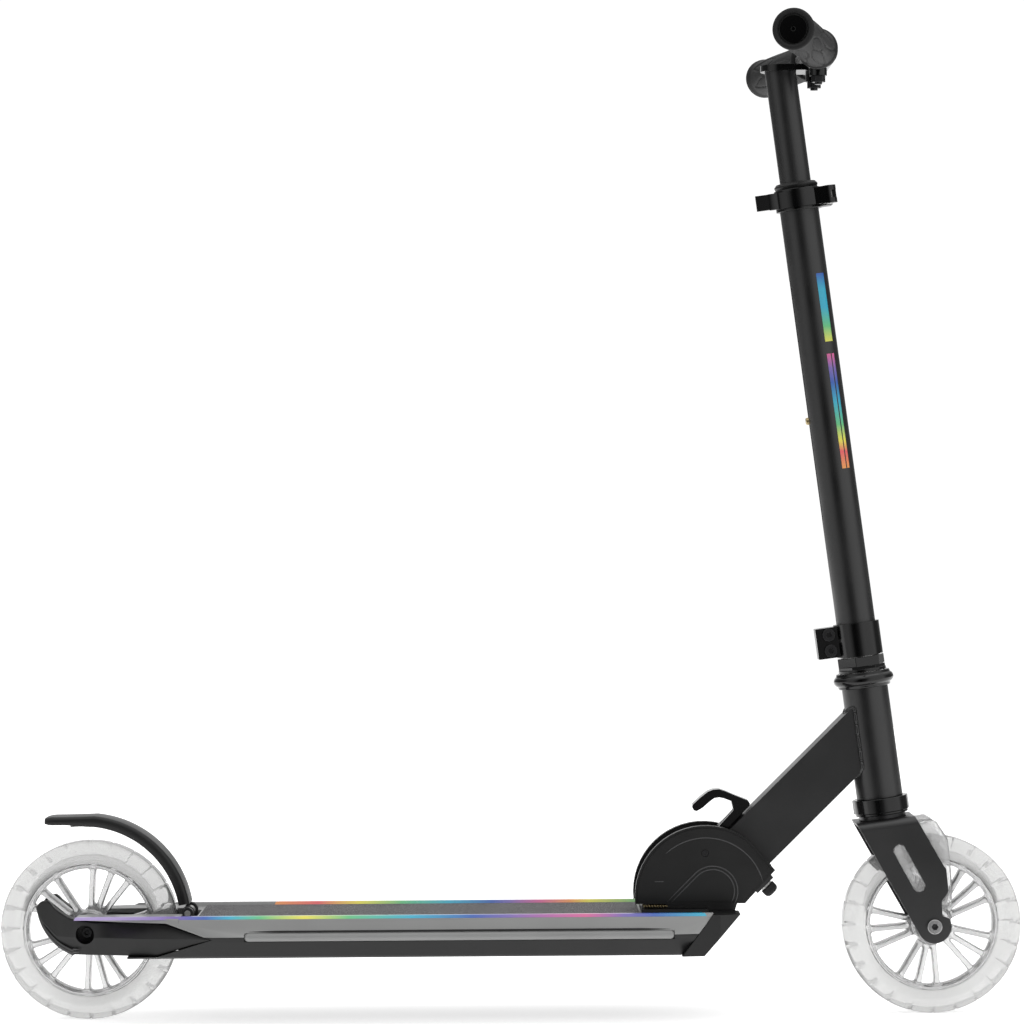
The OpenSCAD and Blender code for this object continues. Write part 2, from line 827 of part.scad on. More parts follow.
// Lower stem tube, slit at both ends, with a slot for the snap button at the back
module lower_tube() {
    slot_low = button_w - 79;
    slot_high = button_w + 114;
    half_slot = 3.4;
    color("dimgray") stem_frame() difference() {
        ring(lower_in_r, lower_r, tube_low, tube_high);
        translate([-far, -1.3, tube_low - over]) cube([far, 2.6, 34]);
        translate([0, -1.3, tube_high - 36]) cube([far, 2.6, 40]);
        translate([-20, -half_slot, slot_low]) cube([20, 2 * half_slot, slot_high - slot_low]);
        for (z = [slot_low, slot_high]) translate([0, 0, z]) rotate([0, -90, 0])
            cylinder(r = half_slot, h = 20);
    }
}

// Plastic sleeve that guides the upper tube
module tube_bushing() {
    color("black") stem_frame() rotate_extrude() polygon(concat(
        [[upper_r + 0.08, tube_high - 40], [lower_in_r - eps, tube_high - 40],
        [lower_in_r - eps, tube_high + eps], [16.9, tube_high + eps]],
        arc([16.2, tube_high + 2.6], 1.6, -30, 70, 5),
        arc([15.2, tube_high + 3.7], 1.6, 20, 90, 4),
        [[upper_r + 0.08, tube_high + 5.3]]
    ));
}

// Quick-release collar with two ears at the front
module qr_collar() {
    ear_end = 31;
    color("black") stem_frame() difference() {
        union() {
            translate([0, 0, collar_low]) cylinder(r = collar_r, h = 17.4);
            translate([12, -8.6, collar_low + 0.6]) cube([ear_end - 12 - 4, 17.2, 16.2]);
            translate([ear_end - 6, -8.6, collar_low + 3]) cube([6, 17.2, 11.4]);
        }
        cylinder(r = lower_r + eps, h = far * 2);
        translate([0, -1.3, collar_low - over]) cube([far, 2.6, far]);
        translate([24, 0, collar_low + 8.7]) pin_y(2.6, -far, far);
    }
}

// Skewer through the collar's ears, with its round nut and the lever's barrel pin
module qr_skewer() {
    mid = collar_low + 8.7;
    color("silver") stem_frame() translate([24, 0, mid]) {
        pin_y(2.5, -14.5, 9.5);
        translate([0, 8.7, 0]) rotate([-90, 0, 0]) difference() {
            cylinder(r = 5, h = 5);
            translate([0, 0, 3.4]) cylinder(r = 2.3, h = 4, $fn = 6);
            translate([0, 0, -over]) cylinder(r = 2.5 + eps, h = 2.5);
        }
        translate([0, -15.6, -7.6]) cylinder(r = 3, h = 15.2);
    }
}

// Cam lever that wraps round the collar and ends in a flat tab
module qr_lever() {
    mid = collar_low + 8.7;
    eye = [24, -15.6];
    low = mid - 7.2;
    height = 14.4;
    inner_r = 19.8;
    outer_r = 23.4;
    color("black") stem_frame() difference() {
        union() {
            translate([eye[0], eye[1], low]) cylinder(r = 6.5, h = height);
            translate([0, 0, low + 0.6]) linear_extrude(height - 1.2) polygon(concat(
                [[eye[0] - 1, eye[1] - 6.4], [eye[0] - 5, eye[1] + 3.4]],
                arc([0, 0], inner_r, -37, -146, 14),
                [[-22, -13.2], [-25, -13.4], [-25, -17.5], [-20.2, -17.8]],
                arc([0, 0], outer_r, -137, -58, 10)
            ));
            translate([-35.5, -17.4, mid - 6.2]) cube([11.5, 3.6, 12.6]);
        }
        translate([eye[0], eye[1], mid - 20]) cylinder(r = 3.1, h = 40);
        translate([eye[0], eye[1], mid - 3.1]) rotate([0, 0, -75]) rotate_extrude(angle = 220)
            square([20, 6.2]);
    }
}

// ---------- sliding bar assembly ----------

// Upper stem tube, cut level under the bar's plate
module upper_tube() {
    color("dimgray") difference() {
        stem_frame() difference() {
            ring(upper_in_r, upper_r, 465, 800);
            translate([0, 0, button_w]) rotate([0, -90, 0]) cylinder(r = 3.15, h = far);
        }
        translate([0, -far / 2, plate_low - eps]) cube([far, far, far]);
    }
}

// Level plate welded on the upper tube, with the half-round saddle under the bar
module bar_bracket() {
    half_w = 17;
    saddle_half = 33;
    saddle_r = bar_r + 4;
    color("black") difference() {
        union() {
            translate([226, -half_w, plate_low]) cube([bar_x - 226, 2 * half_w, plate_high - plate_low]);
            translate([226, 0, plate_low]) cylinder(r = half_w, h = plate_high - plate_low);
            translate([bar_x, 0, bar_z]) pin_y(saddle_r, -saddle_half, saddle_half);
            both_sides() translate([bar_x, bar_bolt_y, bar_z - saddle_r - 4.5]) cylinder(r = 7, h = 10);
            intersection() {
                stem_frame() translate([0, 0, 750]) cylinder(r = upper_in_r - eps, h = 40);
                translate([0, -far / 2, plate_high - 20]) cube([far, far, 19]);
            }
        }
        translate([bar_x, 0, bar_z]) pin_y(bar_r + eps, -far, far);
        translate([bar_x - far, -far, bar_z]) cube([2 * far, 2 * far, far]);
        both_sides() translate([bar_x, bar_bolt_y, 700]) cylinder(r = 3.05, h = far);
    }
}

// Everything outboard of the mitred joint at the bar's elbow
module past_elbow() {
    translate([0, elbow_y, 0]) rotate([0, 0, -bar_sweep / 2])
        translate([-far / 2, 0, -far / 2]) cube(far);
}

// Tube along the bar's centre line: straight in the middle, then swept back on both sides
module swept_tube(r_in, r_out, tip) {
    mirror([1, 0, 0]) {
        difference() {
            rotate([90, 0, 0]) ring(r_in, r_out, -elbow_y - 3, elbow_y + 3);
            both_sides() past_elbow();
        }
        both_sides() intersection() {
            swept_frame() ring(r_in, r_out, -3, tip);
            past_elbow();
        }
    }
}

// Frame at the bar's elbow whose Z runs out along the grip
module swept_frame() {
    translate([0, elbow_y, 0]) rotate([0, 0, -bar_sweep]) rotate([-90, 0, 0]) children();
}

// Swept tubular bar drilled for its two bolts
module handlebar() {
    color("dimgray") difference() {
        translate([bar_x, 0, bar_z]) swept_tube(bar_r - 1.8, bar_r, grip_start + grip_l - 2);
        both_sides() translate([bar_x, bar_bolt_y, 700]) cylinder(r = 3.05, h = far);
    }
}

// Rubber grip with a flange at each end and a vent in its end cap
module grip_left() {
    body_r = 14.6;
    section = concat(
        [[0, grip_l - 1], [0, grip_l + 3.2], [13, grip_l + 3.2]],
        arc([grip_flange_r - 2, grip_l + 1], 2, 70, 0, 4),
        [[grip_flange_r, grip_l - 3], [body_r + 0.4, grip_l - 6], [body_r + 0.6, grip_l - 40],
        [body_r, 12], [body_r + 0.3, 6], [grip_flange_r, 4], [grip_flange_r, 1],
        [grip_flange_r - 1, 0], [bar_r + eps, 0], [bar_r + eps, grip_l - 1]]
    );
    color("dimgray") translate([bar_x, 0, bar_z]) mirror([1, 0, 0]) swept_frame()
        translate([0, 0, grip_start]) difference() {
        rotate_extrude() polygon(section);
        translate([0, 0, grip_l + 1.6]) cylinder(r = 11, h = 5);
        translate([0, 0, grip_l - 2]) cylinder(r = 2, h = 10);
    }
}
module grip_right() { mirror([0, 1, 0]) grip_left(); }

// Two bolts down through bar and saddle, with nuts beneath
module bar_bolts() {
    nut_top = bar_z - bar_r - 8.5 - eps;
    color("silver") both_sides() translate([bar_x, bar_bolt_y, 0]) {
        translate([0, 0, nut_top - 7]) cylinder(r = 3, h = bar_z + bar_r - nut_top + 7.2);
        translate([0, 0, nut_top - 5.2]) difference() {
            cylinder(r = 5.7, h = 5.2, $fn = 6);
            translate([0, 0, -over]) cylinder(r = 3 + eps, h = 8);
        }
        translate([0, 0, bar_z + bar_r + 0.1]) difference() {
            cylinder(r = 5.2, h = 3);
            translate([0, 0, 1.4]) cylinder(r = 2.4, h = 3, $fn = 6);
        }
    }
}

// Spring that pushes the snap button outwards
module button_spring() {
    color("silver") stem_frame() translate([-4, 0, button_w]) rotate([0, 90, 0])
        coil_spring(3.4, 0.5, 5, 13.5);
}

// Round snap button at the back of the stem, with a flange inside the tube
module snap_button() {
    reach = lower_r + 2.4;
    color("goldenrod") stem_frame() translate([0, 0, button_w]) rotate([0, -90, 0])
        rotate_extrude() polygon(concat(
            [[0, 5], [4.6, 5], [4.6, 7.6], [3, 7.6]],
            arc([3 - 1.4, reach - 1.4], 1.4, 0, 90, 5),
            [[0, reach]]
        ));
}

// ---------- brake ----------

fender_centre = [-347, 79];
fender_r = 87.5;
fender_half = 17;

// Frame about the fender's own centre whose Z runs to the rider's right
module fender_frame() {
    translate([fender_centre[0], 0, fender_centre[1]]) rotate([90, 0, 0]) children();
}

// Pin that the fender turns on
module brake_pin() {
    color("silver") translate([brake_pivot[0], 0, brake_pivot[1]]) pin_y(2.5, -23.7, 23.7);
}

// Torsion spring around the pin
module brake_spring() {
    color("silver") translate([brake_pivot[0], 5, brake_pivot[1]]) rotate([90, 0, 0])
        coil_spring(3.6, 0.6, 8, 10);
}

// Curved fender with side flanges that hangs over the rear wheel
module brake_fender() {
    start = 6;
    tip_end = 110;
    skin = 3;
    inner = fender_r - 10;
    edge = fender_half - skin;
    section = [
        [inner, -fender_half], [fender_r - 1, -fender_half], [fender_r, -fender_half + 1.5],
        [fender_r, fender_half - 1.5], [fender_r - 1, fender_half], [inner, fender_half],
        [inner, edge], [fender_r - skin, edge], [fender_r - skin, -edge], [inner, -edge]
    ];
    color("dimgray") difference() {
        union() {
            fender_frame() rotate([0, 0, start])
                rotate_extrude(angle = tip_end - start, $fn = 120) polygon(section);
            both_sides() translate([brake_pivot[0], 0, brake_pivot[1]])
                pin_y(5.5, edge - over, fender_half + 0.5);
            fender_frame() rotate([0, 0, tip_end - 6.5])
                rotate_extrude(angle = 6, $fn = 120)
                    translate([fender_r - 8, -edge - over]) square([6.5, 2 * edge + 2 * over]);
        }
        translate([brake_pivot[0], 0, brake_pivot[1]]) pin_y(2.5 + 0.06, -far, far);
        translate([brake_pivot[0] - 8, -edge, brake_pivot[1] - 10]) cube([20, 2 * edge, 21]);
    }
}

// Friction shoe riveted under the fender
module brake_shoe() {
    color("silver") fender_frame() rotate([0, 0, 70]) rotate_extrude(angle = 28, $fn = 120)
        translate([fender_r - 9.5, -10.5]) square([9.5 - 3 - eps, 21]);
}

// ---------- drawing ----------

deck_plate();
deck_tray();
grip_tape();
side_trims();
nose_cap();
rear_dropouts();
rear_cover_right();
rear_cover_left();
hinge_bracket();
hinge_cover_right();
hinge_cover_left();
fold_pivot_bolt();
cover_screws();
stop_bolt();
stop_knob();
latch_spring();
rear_axle();
rear_axle_screws();
rear_magnet_core();
brake_pin();
brake_spring();
neck_strut();
head_tube();
upper_cup();
lower_cup();
headset_bearings();
lever_pin();
fold_lever();
fork();
fork_guard();
steerer_tube();
crown_race();
lock_washer();
lock_nut();
lower_clamp();
clamp_bolts();
lower_tube();
tube_bushing();
qr_collar();
qr_skewer();
front_axle();
front_axle_screws();
front_magnet_core();
qr_lever();
upper_tube();
bar_bracket();
handlebar();
grip_right();
grip_left();
bar_bolts();
button_spring();
snap_button();
front_tyre();
front_rim();
front_bearings();
rear_tyre();
rear_rim();
rear_bearings();
brake_fender();
brake_shoe();
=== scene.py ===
"""Looks of a folding kick scooter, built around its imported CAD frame. Metres, Z up."""
import json
import math

import bmesh
import bpy
from mathutils import Matrix, Vector

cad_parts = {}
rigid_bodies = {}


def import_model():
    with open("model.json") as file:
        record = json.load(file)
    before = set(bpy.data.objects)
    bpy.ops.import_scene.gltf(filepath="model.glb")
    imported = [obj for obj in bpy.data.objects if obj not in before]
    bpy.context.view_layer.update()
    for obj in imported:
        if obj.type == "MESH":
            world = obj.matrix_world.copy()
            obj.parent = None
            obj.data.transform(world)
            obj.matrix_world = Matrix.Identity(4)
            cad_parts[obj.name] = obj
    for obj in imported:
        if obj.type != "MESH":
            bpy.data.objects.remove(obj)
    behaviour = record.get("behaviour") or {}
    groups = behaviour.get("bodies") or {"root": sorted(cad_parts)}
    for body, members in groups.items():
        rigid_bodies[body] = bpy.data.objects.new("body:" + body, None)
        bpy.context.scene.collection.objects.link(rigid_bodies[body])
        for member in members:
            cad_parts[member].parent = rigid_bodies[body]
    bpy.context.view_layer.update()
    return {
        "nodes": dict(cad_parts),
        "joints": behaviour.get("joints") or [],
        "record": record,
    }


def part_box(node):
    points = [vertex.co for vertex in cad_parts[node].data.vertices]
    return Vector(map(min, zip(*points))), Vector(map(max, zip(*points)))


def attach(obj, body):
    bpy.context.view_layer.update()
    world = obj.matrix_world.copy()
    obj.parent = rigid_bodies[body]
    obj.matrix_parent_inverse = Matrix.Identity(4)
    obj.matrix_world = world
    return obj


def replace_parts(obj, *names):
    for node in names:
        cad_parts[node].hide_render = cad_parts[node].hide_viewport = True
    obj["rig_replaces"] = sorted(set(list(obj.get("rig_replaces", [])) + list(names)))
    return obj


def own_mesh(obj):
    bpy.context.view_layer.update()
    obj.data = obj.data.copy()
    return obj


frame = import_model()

MM = 0.001
NODES = frame["nodes"]
JOINTS = {joint["name"]: joint for joint in frame["joints"]}
SLOTS = {part["node"]: part["material_slot"] for part in frame["record"]["subparts"]}
BODY_OF = {
    node: body for body, nodes in frame["record"]["behaviour"]["bodies"].items() for node in nodes
}

# Places worked out from the frame
STEER_AXIS = Vector(JOINTS["steer"]["axis"]).normalized()
STEER_FOOT = Vector(JOINTS["steer"]["pos_m"])
STEER_FOOT = STEER_FOOT - STEER_AXIS * (STEER_FOOT.z / STEER_AXIS.z)
LEAN = math.atan2(-STEER_AXIS.x, STEER_AXIS.z)
STEM = Matrix.Translation(STEER_FOOT) @ Matrix.Rotation(-LEAN, 4, "Y")
WHEELS = {side: Vector(JOINTS[side + "_wheel_spin"]["pos_m"]) for side in ("front", "rear")}
FOLD_PIVOT = Vector(JOINTS["fold"]["pos_m"])
BRAKE_PIVOT = Vector(JOINTS["brake_press"]["pos_m"])
STRUT_ANGLE = math.radians(44.5)


# ---------- camera, floor and light ----------

CAMERA_PLACE = (0.0035, -3.06, 0.4105)
CAMERA_LENS = 131.7
CAMERA_ROLL = math.radians(-0.42)
FLOOR_SIDE, FLOOR_FRONT, FLOOR_BACK = 3, -0.4, 4
FLOOR_DROP = 0.2 * MM
# (bearing in degrees seen from the scooter, brightness): 0 is towards the camera, 90 towards the front
ROOM_LEVELS = [
    (-180, 1.0), (-166, 1.0), (-156, 0.3), (-120, 0.12), (-88, 0.15), (-72, 0.7), (-50, 0.75), (-36, 0.4),
    (-25, 0.02), (-10, 0.02), (5, 0.18), (15, 0.7), (27, 1.0), (78, 1.0), (94, 0.2), (120, 0.12),
    (156, 0.3), (166, 1.0), (180, 1.0),
]


def add_camera():
    """A long lens that looks level along +Y from the scooter's right."""
    data = bpy.data.cameras.new("camera")
    data.lens = CAMERA_LENS
    data.sensor_width = 36
    camera = bpy.data.objects.new("camera", data)
    bpy.context.collection.objects.link(camera)
    camera.matrix_world = (
        Matrix.Translation(CAMERA_PLACE)
        @ Matrix.Rotation(math.radians(90), 4, "X")
        @ Matrix.Rotation(CAMERA_ROLL, 4, "Z")
    )
    bpy.context.scene.camera = camera


def add_floor():
    """Pale floor that ends just in front, so that the side faces don't mirror it."""
    mesh = bpy.data.meshes.new("floor")
    corners = [(-FLOOR_SIDE, FLOOR_FRONT, 0), (FLOOR_SIDE, FLOOR_FRONT, 0), (FLOOR_SIDE, FLOOR_BACK, 0),
               (-FLOOR_SIDE, FLOOR_BACK, 0)]
    mesh.from_pydata(corners, [], [(0, 1, 2, 3)])
    floor = bpy.data.objects.new("floor", mesh)
    floor.location.z = -FLOOR_DROP
    bpy.context.collection.objects.link(floor)
    surface = bpy.data.materials.new("floor_pale")
    surface.use_nodes = True
    shader = surface.node_tree.nodes["Principled BSDF"]
    shader.inputs["Base Color"].default_value = (0.93, 0.93, 0.93, 1)
    shader.inputs["Roughness"].default_value = 0.7
    shader.inputs["Specular IOR Level"].default_value = 0.0
    shader.inputs["Emission Color"].default_value = (1, 1, 1, 1)
    shader.inputs["Emission Strength"].default_value = 0.6
    mesh.materials.append(surface)


def add_area(name, place, target, size, power):
    data = bpy.data.lights.new(name, "AREA")
    data.shape = "RECTANGLE"
    data.size, data.size_y = size
    data.energy = power
    light = bpy.data.objects.new(name, data)
    light.location = place
    toward = Vector(target) - Vector(place)
    light.rotation_euler = toward.to_track_quat("-Z", "Y").to_euler()
    bpy.context.collection.objects.link(light)


def add_lights():
    """White backdrop, a room whose brightness changes around the scooter, and one soft box above."""
    bpy.context.scene.view_settings.view_transform = "Standard"
    world = bpy.data.worlds.new("studio")
    bpy.context.scene.world = world
    world.use_nodes = True
    nodes, links = world.node_tree.nodes, world.node_tree.links
    nodes.clear()
    out = nodes.new("ShaderNodeOutputWorld")
    mix = nodes.new("ShaderNodeMixShader")
    path = nodes.new("ShaderNodeLightPath")
    plain = nodes.new("ShaderNodeBackground")
    plain.inputs["Color"].default_value = (1, 1, 1, 1)
    plain.inputs["Strength"].default_value = 1.05
    room = nodes.new("ShaderNodeBackground")
    coord = nodes.new("ShaderNodeTexCoord")
    split = nodes.new("ShaderNodeSeparateXYZ")
    links.new(coord.outputs["Generated"], split.inputs[0])
    flip = nodes.new("ShaderNodeMath")
    flip.operation = "MULTIPLY"
    flip.inputs[1].default_value = -1
    links.new(split.outputs["Y"], flip.inputs[0])
    bearing = nodes.new("ShaderNodeMath")
    bearing.operation = "ARCTAN2"
    links.new(split.outputs["X"], bearing.inputs[0])
    links.new(flip.outputs[0], bearing.inputs[1])
    span = nodes.new("ShaderNodeMapRange")
    span.inputs["From Min"].default_value = -math.pi
    span.inputs["From Max"].default_value = math.pi
    links.new(bearing.outputs[0], span.inputs["Value"])
    around = nodes.new("ShaderNodeValToRGB")
    while len(around.color_ramp.elements) < len(ROOM_LEVELS):
        around.color_ramp.elements.new(0.5)
    for element, (degrees, brightness) in zip(around.color_ramp.elements, ROOM_LEVELS):
        element.position = (degrees + 180) / 360
        element.color = (brightness, brightness, brightness, 1)
    links.new(span.outputs["Result"], around.inputs["Fac"])
    overhead = nodes.new("ShaderNodeMapRange")
    overhead.inputs["From Min"].default_value = 0.35
    overhead.inputs["From Max"].default_value = 0.75
    links.new(split.outputs["Z"], overhead.inputs["Value"])
    level = nodes.new("ShaderNodeMix")
    level.data_type = "RGBA"
    level.inputs["B"].default_value = (1, 1, 1, 1)
    links.new(overhead.outputs["Result"], level.inputs["Factor"])
    links.new(around.outputs["Color"], level.inputs["A"])
    links.new(level.outputs["Result"], room.inputs["Color"])
    room.inputs["Strength"].default_value = 1.0
    links.new(path.outputs["Is Camera Ray"], mix.inputs["Fac"])
    links.new(room.outputs[0], mix.inputs[1])
    links.new(plain.outputs[0], mix.inputs[2])
    links.new(mix.outputs[0], out.inputs["Surface"])
    add_area("softbox_top", (0.2, -0.2, 2.6), (0, 0, 0.35), (2.6, 1.6), 9)


# ---------- materials ----------

def material(name, colour, rough, metallic=0.0, shift=0.12, rough_shift=0.06, grain=(900, 0.02),
             wear=0.0, wear_colour=None, **sockets):
    """Principled surface: broad colour and roughness drift, fine grain bump, and paler worn edges."""
    made = bpy.data.materials.new(name)
    made.use_nodes = True
    nodes, links = made.node_tree.nodes, made.node_tree.links
    shader = nodes["Principled BSDF"]
    shader.inputs["Metallic"].default_value = metallic
    for socket, value in sockets.items():
        shader.inputs[socket.replace("_", " ")].default_value = value
    coord = nodes.new("ShaderNodeTexCoord")
    broad = nodes.new("ShaderNodeTexNoise")
    broad.inputs["Scale"].default_value = 22
    broad.inputs["Detail"].default_value = 6
    links.new(coord.outputs["Object"], broad.inputs["Vector"])
    tint = nodes.new("ShaderNodeMix")
    tint.data_type = "RGBA"
    low = [c * (1 - shift) for c in colour] + [1]
    high = [min(1, c * (1 + shift)) for c in colour] + [1]
    tint.inputs["A"].default_value = low
    tint.inputs["B"].default_value = high
    links.new(broad.outputs["Fac"], tint.inputs["Factor"])
    colour_out = tint.outputs["Result"]
    if wear:
        geometry = nodes.new("ShaderNodeNewGeometry")
        edge = nodes.new("ShaderNodeMapRange")
        edge.inputs["From Min"].default_value = 0.52
        edge.inputs["From Max"].default_value = 0.62
        edge.inputs["To Max"].default_value = wear
        links.new(geometry.outputs["Pointiness"], edge.inputs["Value"])
        worn = nodes.new("ShaderNodeMix")
        worn.data_type = "RGBA"
        worn.inputs["B"].default_value = (*(wear_colour or [min(1, c * 3) for c in colour]), 1)
        links.new(edge.outputs["Result"], worn.inputs["Factor"])
        links.new(colour_out, worn.inputs["A"])
        colour_out = worn.outputs["Result"]
    links.new(colour_out, shader.inputs["Base Color"])
    polish = nodes.new("ShaderNodeMapRange")
    polish.inputs["From Min"].default_value = 0.3
    polish.inputs["From Max"].default_value = 0.7
    polish.inputs["To Min"].default_value = max(0.02, rough - rough_shift)
    polish.inputs["To Max"].default_value = rough + rough_shift
    links.new(broad.outputs["Fac"], polish.inputs["Value"])
    links.new(polish.outputs["Result"], shader.inputs["Roughness"])
    if grain:
        fine = nodes.new("ShaderNodeTexNoise")
        fine.inputs["Scale"].default_value = grain[0]
        fine.inputs["Detail"].default_value = 3
        links.new(coord.outputs["Object"], fine.inputs["Vector"])
        bump = nodes.new("ShaderNodeBump")
        bump.inputs["Strength"].default_value = 1.0
        bump.inputs["Distance"].default_value = grain[1] * MM
        links.new(fine.outputs["Fac"], bump.inputs["Height"])
        links.new(bump.outputs["Normal"], shader.inputs["Normal"])
    return made


def clear_resin(name, colour, outline_shade_colour, outline_shade_start, grain, **sockets):
    """Clear moulding whose colour is painted darker where it is seen edge on, a painted shade for the dark
    rims a clear part shows at its outline.
    """
    made = material(name, colour, 0.12, shift=0.04, rough_shift=0.05, grain=grain, **sockets)
    nodes, links = made.node_tree.nodes, made.node_tree.links
    base = nodes["Principled BSDF"].inputs["Base Color"]
    # Painted shade: the base colour darkens towards the outline as the surface turns edge on.
    facing = nodes.new("ShaderNodeLayerWeight")
    facing.inputs["Blend"].default_value = 0.5
    edge = nodes.new("ShaderNodeMapRange")
    edge.inputs["From Min"].default_value = outline_shade_start
    edge.inputs["From Max"].default_value = 0.9
    links.new(facing.outputs["Facing"], edge.inputs["Value"])
    mixed = nodes.new("ShaderNodeMix")
    mixed.data_type = "RGBA"
    mixed.inputs["B"].default_value = (*outline_shade_colour, 1)
    links.new(edge.outputs["Result"], mixed.inputs["Factor"])
    links.new(base.links[0].from_socket, mixed.inputs["A"])
    links.new(mixed.outputs["Result"], base)
    return made


def speckled_sheet():
    """Abrasive sheet: dark ground with paler grains that stand up from it."""
    made = material("grip_grit", (0.075, 0.073, 0.075), 0.75, grain=None)
    nodes, links = made.node_tree.nodes, made.node_tree.links
    shader = nodes["Principled BSDF"]
    coord = nodes.new("ShaderNodeTexCoord")
    grains = nodes.new("ShaderNodeTexVoronoi")
    grains.inputs["Scale"].default_value = 1100
    links.new(coord.outputs["Object"], grains.inputs["Vector"])
    ramp = nodes.new("ShaderNodeValToRGB")
    ramp.color_ramp.elements[0].position = 0.25
    ramp.color_ramp.elements[0].color = (0.3, 0.29, 0.3, 1)
    ramp.color_ramp.elements[1].position = 0.5
    ramp.color_ramp.elements[1].color = (0.045, 0.045, 0.046, 1)
    links.new(grains.outputs["Distance"], ramp.inputs["Fac"])
    links.new(ramp.outputs["Color"], shader.inputs["Base Color"])
    bump = nodes.new("ShaderNodeBump")
    bump.invert = True
    bump.inputs["Distance"].default_value = 0.12 * MM
    links.new(grains.outputs["Distance"], bump.inputs["Height"])
    links.new(bump.outputs["Normal"], shader.inputs["Normal"])
    return made


RAINBOW = {
    "lilac": (0.42, 0.32, 0.62), "violet": (0.2, 0.13, 0.45), "blue": (0.02, 0.1, 0.45),
    "cyan": (0.02, 0.42, 0.6), "green": (0.12, 0.55, 0.22), "yellow": (0.85, 0.78, 0.08),
    "orange": (0.9, 0.35, 0.08), "red": (0.85, 0.1, 0.12), "pink": (0.7, 0.12, 0.32),
}


def gradient(name, axis, stops):
    """Printed film whose colour runs along one axis through (place, colour name) stops."""
    made = material(name, (0.5, 0.5, 0.5), 0.32, grain=(1500, 0.01), Coat_Weight=0.4, Coat_Roughness=0.15)
    nodes, links = made.node_tree.nodes, made.node_tree.links
    coord = nodes.new("ShaderNodeTexCoord")
    split = nodes.new("ShaderNodeSeparateXYZ")
    span = nodes.new("ShaderNodeMapRange")
    low, high = stops[0][0], stops[-1][0]
    span.inputs["From Min"].default_value = low
    span.inputs["From Max"].default_value = high
    ramp = nodes.new("ShaderNodeValToRGB")
    elements = ramp.color_ramp.elements
    while len(elements) < len(stops):
        elements.new(0.5)
    for element, (place, colour) in zip(elements, stops):
        element.position = (place - low) / (high - low)
        element.color = (*RAINBOW[colour], 1)
    links.new(coord.outputs["Object"], split.inputs[0])
    links.new(split.outputs[axis], span.inputs["Value"])
    links.new(span.outputs["Result"], ramp.inputs["Fac"])
    links.new(ramp.outputs["Color"], nodes["Principled BSDF"].inputs["Base Color"])
    return made


MATERIALS = {
    "dark_paint": material("charcoal_powder_coat", (0.0052, 0.0052, 0.0055), 0.36, grain=(1400, 0.012),
                           wear=0.2, Specular_IOR_Level=0.72),
    "grey_paint": material("satin_grey_paint", (0.25, 0.252, 0.25), 0.42, grain=(1300, 0.01), wear=0.3),
    "dark_plastic": material("moulded_charcoal_plastic", (0.005, 0.005, 0.005), 0.42,
                             grain=(1800, 0.02), wear=0.3, Specular_IOR_Level=0.42),
    "gloss_black": material("gloss_black_finish", (0.002, 0.002, 0.0021), 0.15, rough_shift=0.04,
                            grain=(500, 0.004), wear=0.15),
    "black_steel": material("black_oxide_steel", (0.03, 0.03, 0.031), 0.26, metallic=0.6,
                            grain=(800, 0.004), wear=0.4),
    "zinc_steel": material("zinc_plated_steel", (0.5, 0.5, 0.49), 0.33, metallic=1.0,
                           grain=(900, 0.006)),
    "chrome": material("polished_steel", (0.72, 0.72, 0.72), 0.14, metallic=1.0, grain=(700, 0.002)),
    "brass": material("satin_brass", (0.5, 0.4, 0.22), 0.3, metallic=1.0, grain=(900, 0.005)),
    "black_rubber": material("matte_rubber", (0.012, 0.012, 0.0123), 0.68, grain=(1600, 0.03), wear=0.2,
                             Specular_IOR_Level=0.35),
    # Each clear material's second colour is the painted shade at its outline.
    "clear_tyre": clear_resin("clear_polyurethane", (0.72, 0.72, 0.715), (0.02, 0.02, 0.02), 0.45,
                              (160, 0.12), Transmission_Weight=0.74, IOR=1.4),
    "white_core": clear_resin("clear_moulded_core", (0.76, 0.76, 0.76), (0.03, 0.03, 0.03), 0.45,
                              (260, 0.08), Transmission_Weight=0.78, IOR=1.46),
    "clear_plastic": clear_resin("clear_textured_plastic", (0.85, 0.85, 0.85), (0.03, 0.03, 0.03), 0.45,
                                 (420, 0.3), Transmission_Weight=0.8, IOR=1.45),
    "grip_grit": speckled_sheet(),
    # Lighter charcoal for raised moulded lines: a painted highlight, the sheen the ridges catch along their
    # tops.
    "ridge_highlight_plastic": material("charcoal_plastic_painted_highlight", (0.045, 0.045, 0.046), 0.4,
                               grain=(1800, 0.02), wear=0.3),
}


# ---------- mesh helpers ----------

def add_piece(name, mesh, slot, body, replaces=(), look=None, sharp=38):
    """Links a mesh as a piece on a body, smooth shaded except across sharp edges."""
    piece = bpy.data.objects.new(name, mesh)
    bpy.context.collection.objects.link(piece)
    mesh.materials.clear()
    mesh.materials.append(look or MATERIALS[slot])
    mesh.shade_smooth()
    mesh.set_sharp_from_angle(angle=math.radians(sharp))
    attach(piece, body)
    if replaces:
        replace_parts(piece, *replaces)
    return piece


def mesh_from(name, verts, faces):
    mesh = bpy.data.meshes.new(name)
    mesh.from_pydata([tuple(v) for v in verts], [], faces)
    build = bmesh.new()
    build.from_mesh(mesh)
    bmesh.ops.recalc_face_normals(build, faces=build.faces)
    build.to_mesh(mesh)
    build.free()
    return mesh


def ring_faces(rings, sides, closed=False):
    """Quads between rings of the same number of points, each ring closed on itself."""
    faces = []
    for i in range(rings if closed else rings - 1):
        for k in range(sides):
            a, b = i * sides, (i + 1) % rings * sides
            faces.append((a + k, a + (k + 1) % sides, b + (k + 1) % sides, b + k))
    return faces


def loft(name, rings, closed=False):
    """Mesh through a list of rings. An open run of rings gets a flat cap at each end."""
    sides = len(rings[0])
    verts = [point for ring in rings for point in ring]
    faces = ring_faces(len(rings), sides, closed)
    if not closed:
        last = (len(rings) - 1) * sides
        faces += [tuple(range(sides)), tuple(range(last, last + sides))]
    return mesh_from(name, verts, faces)


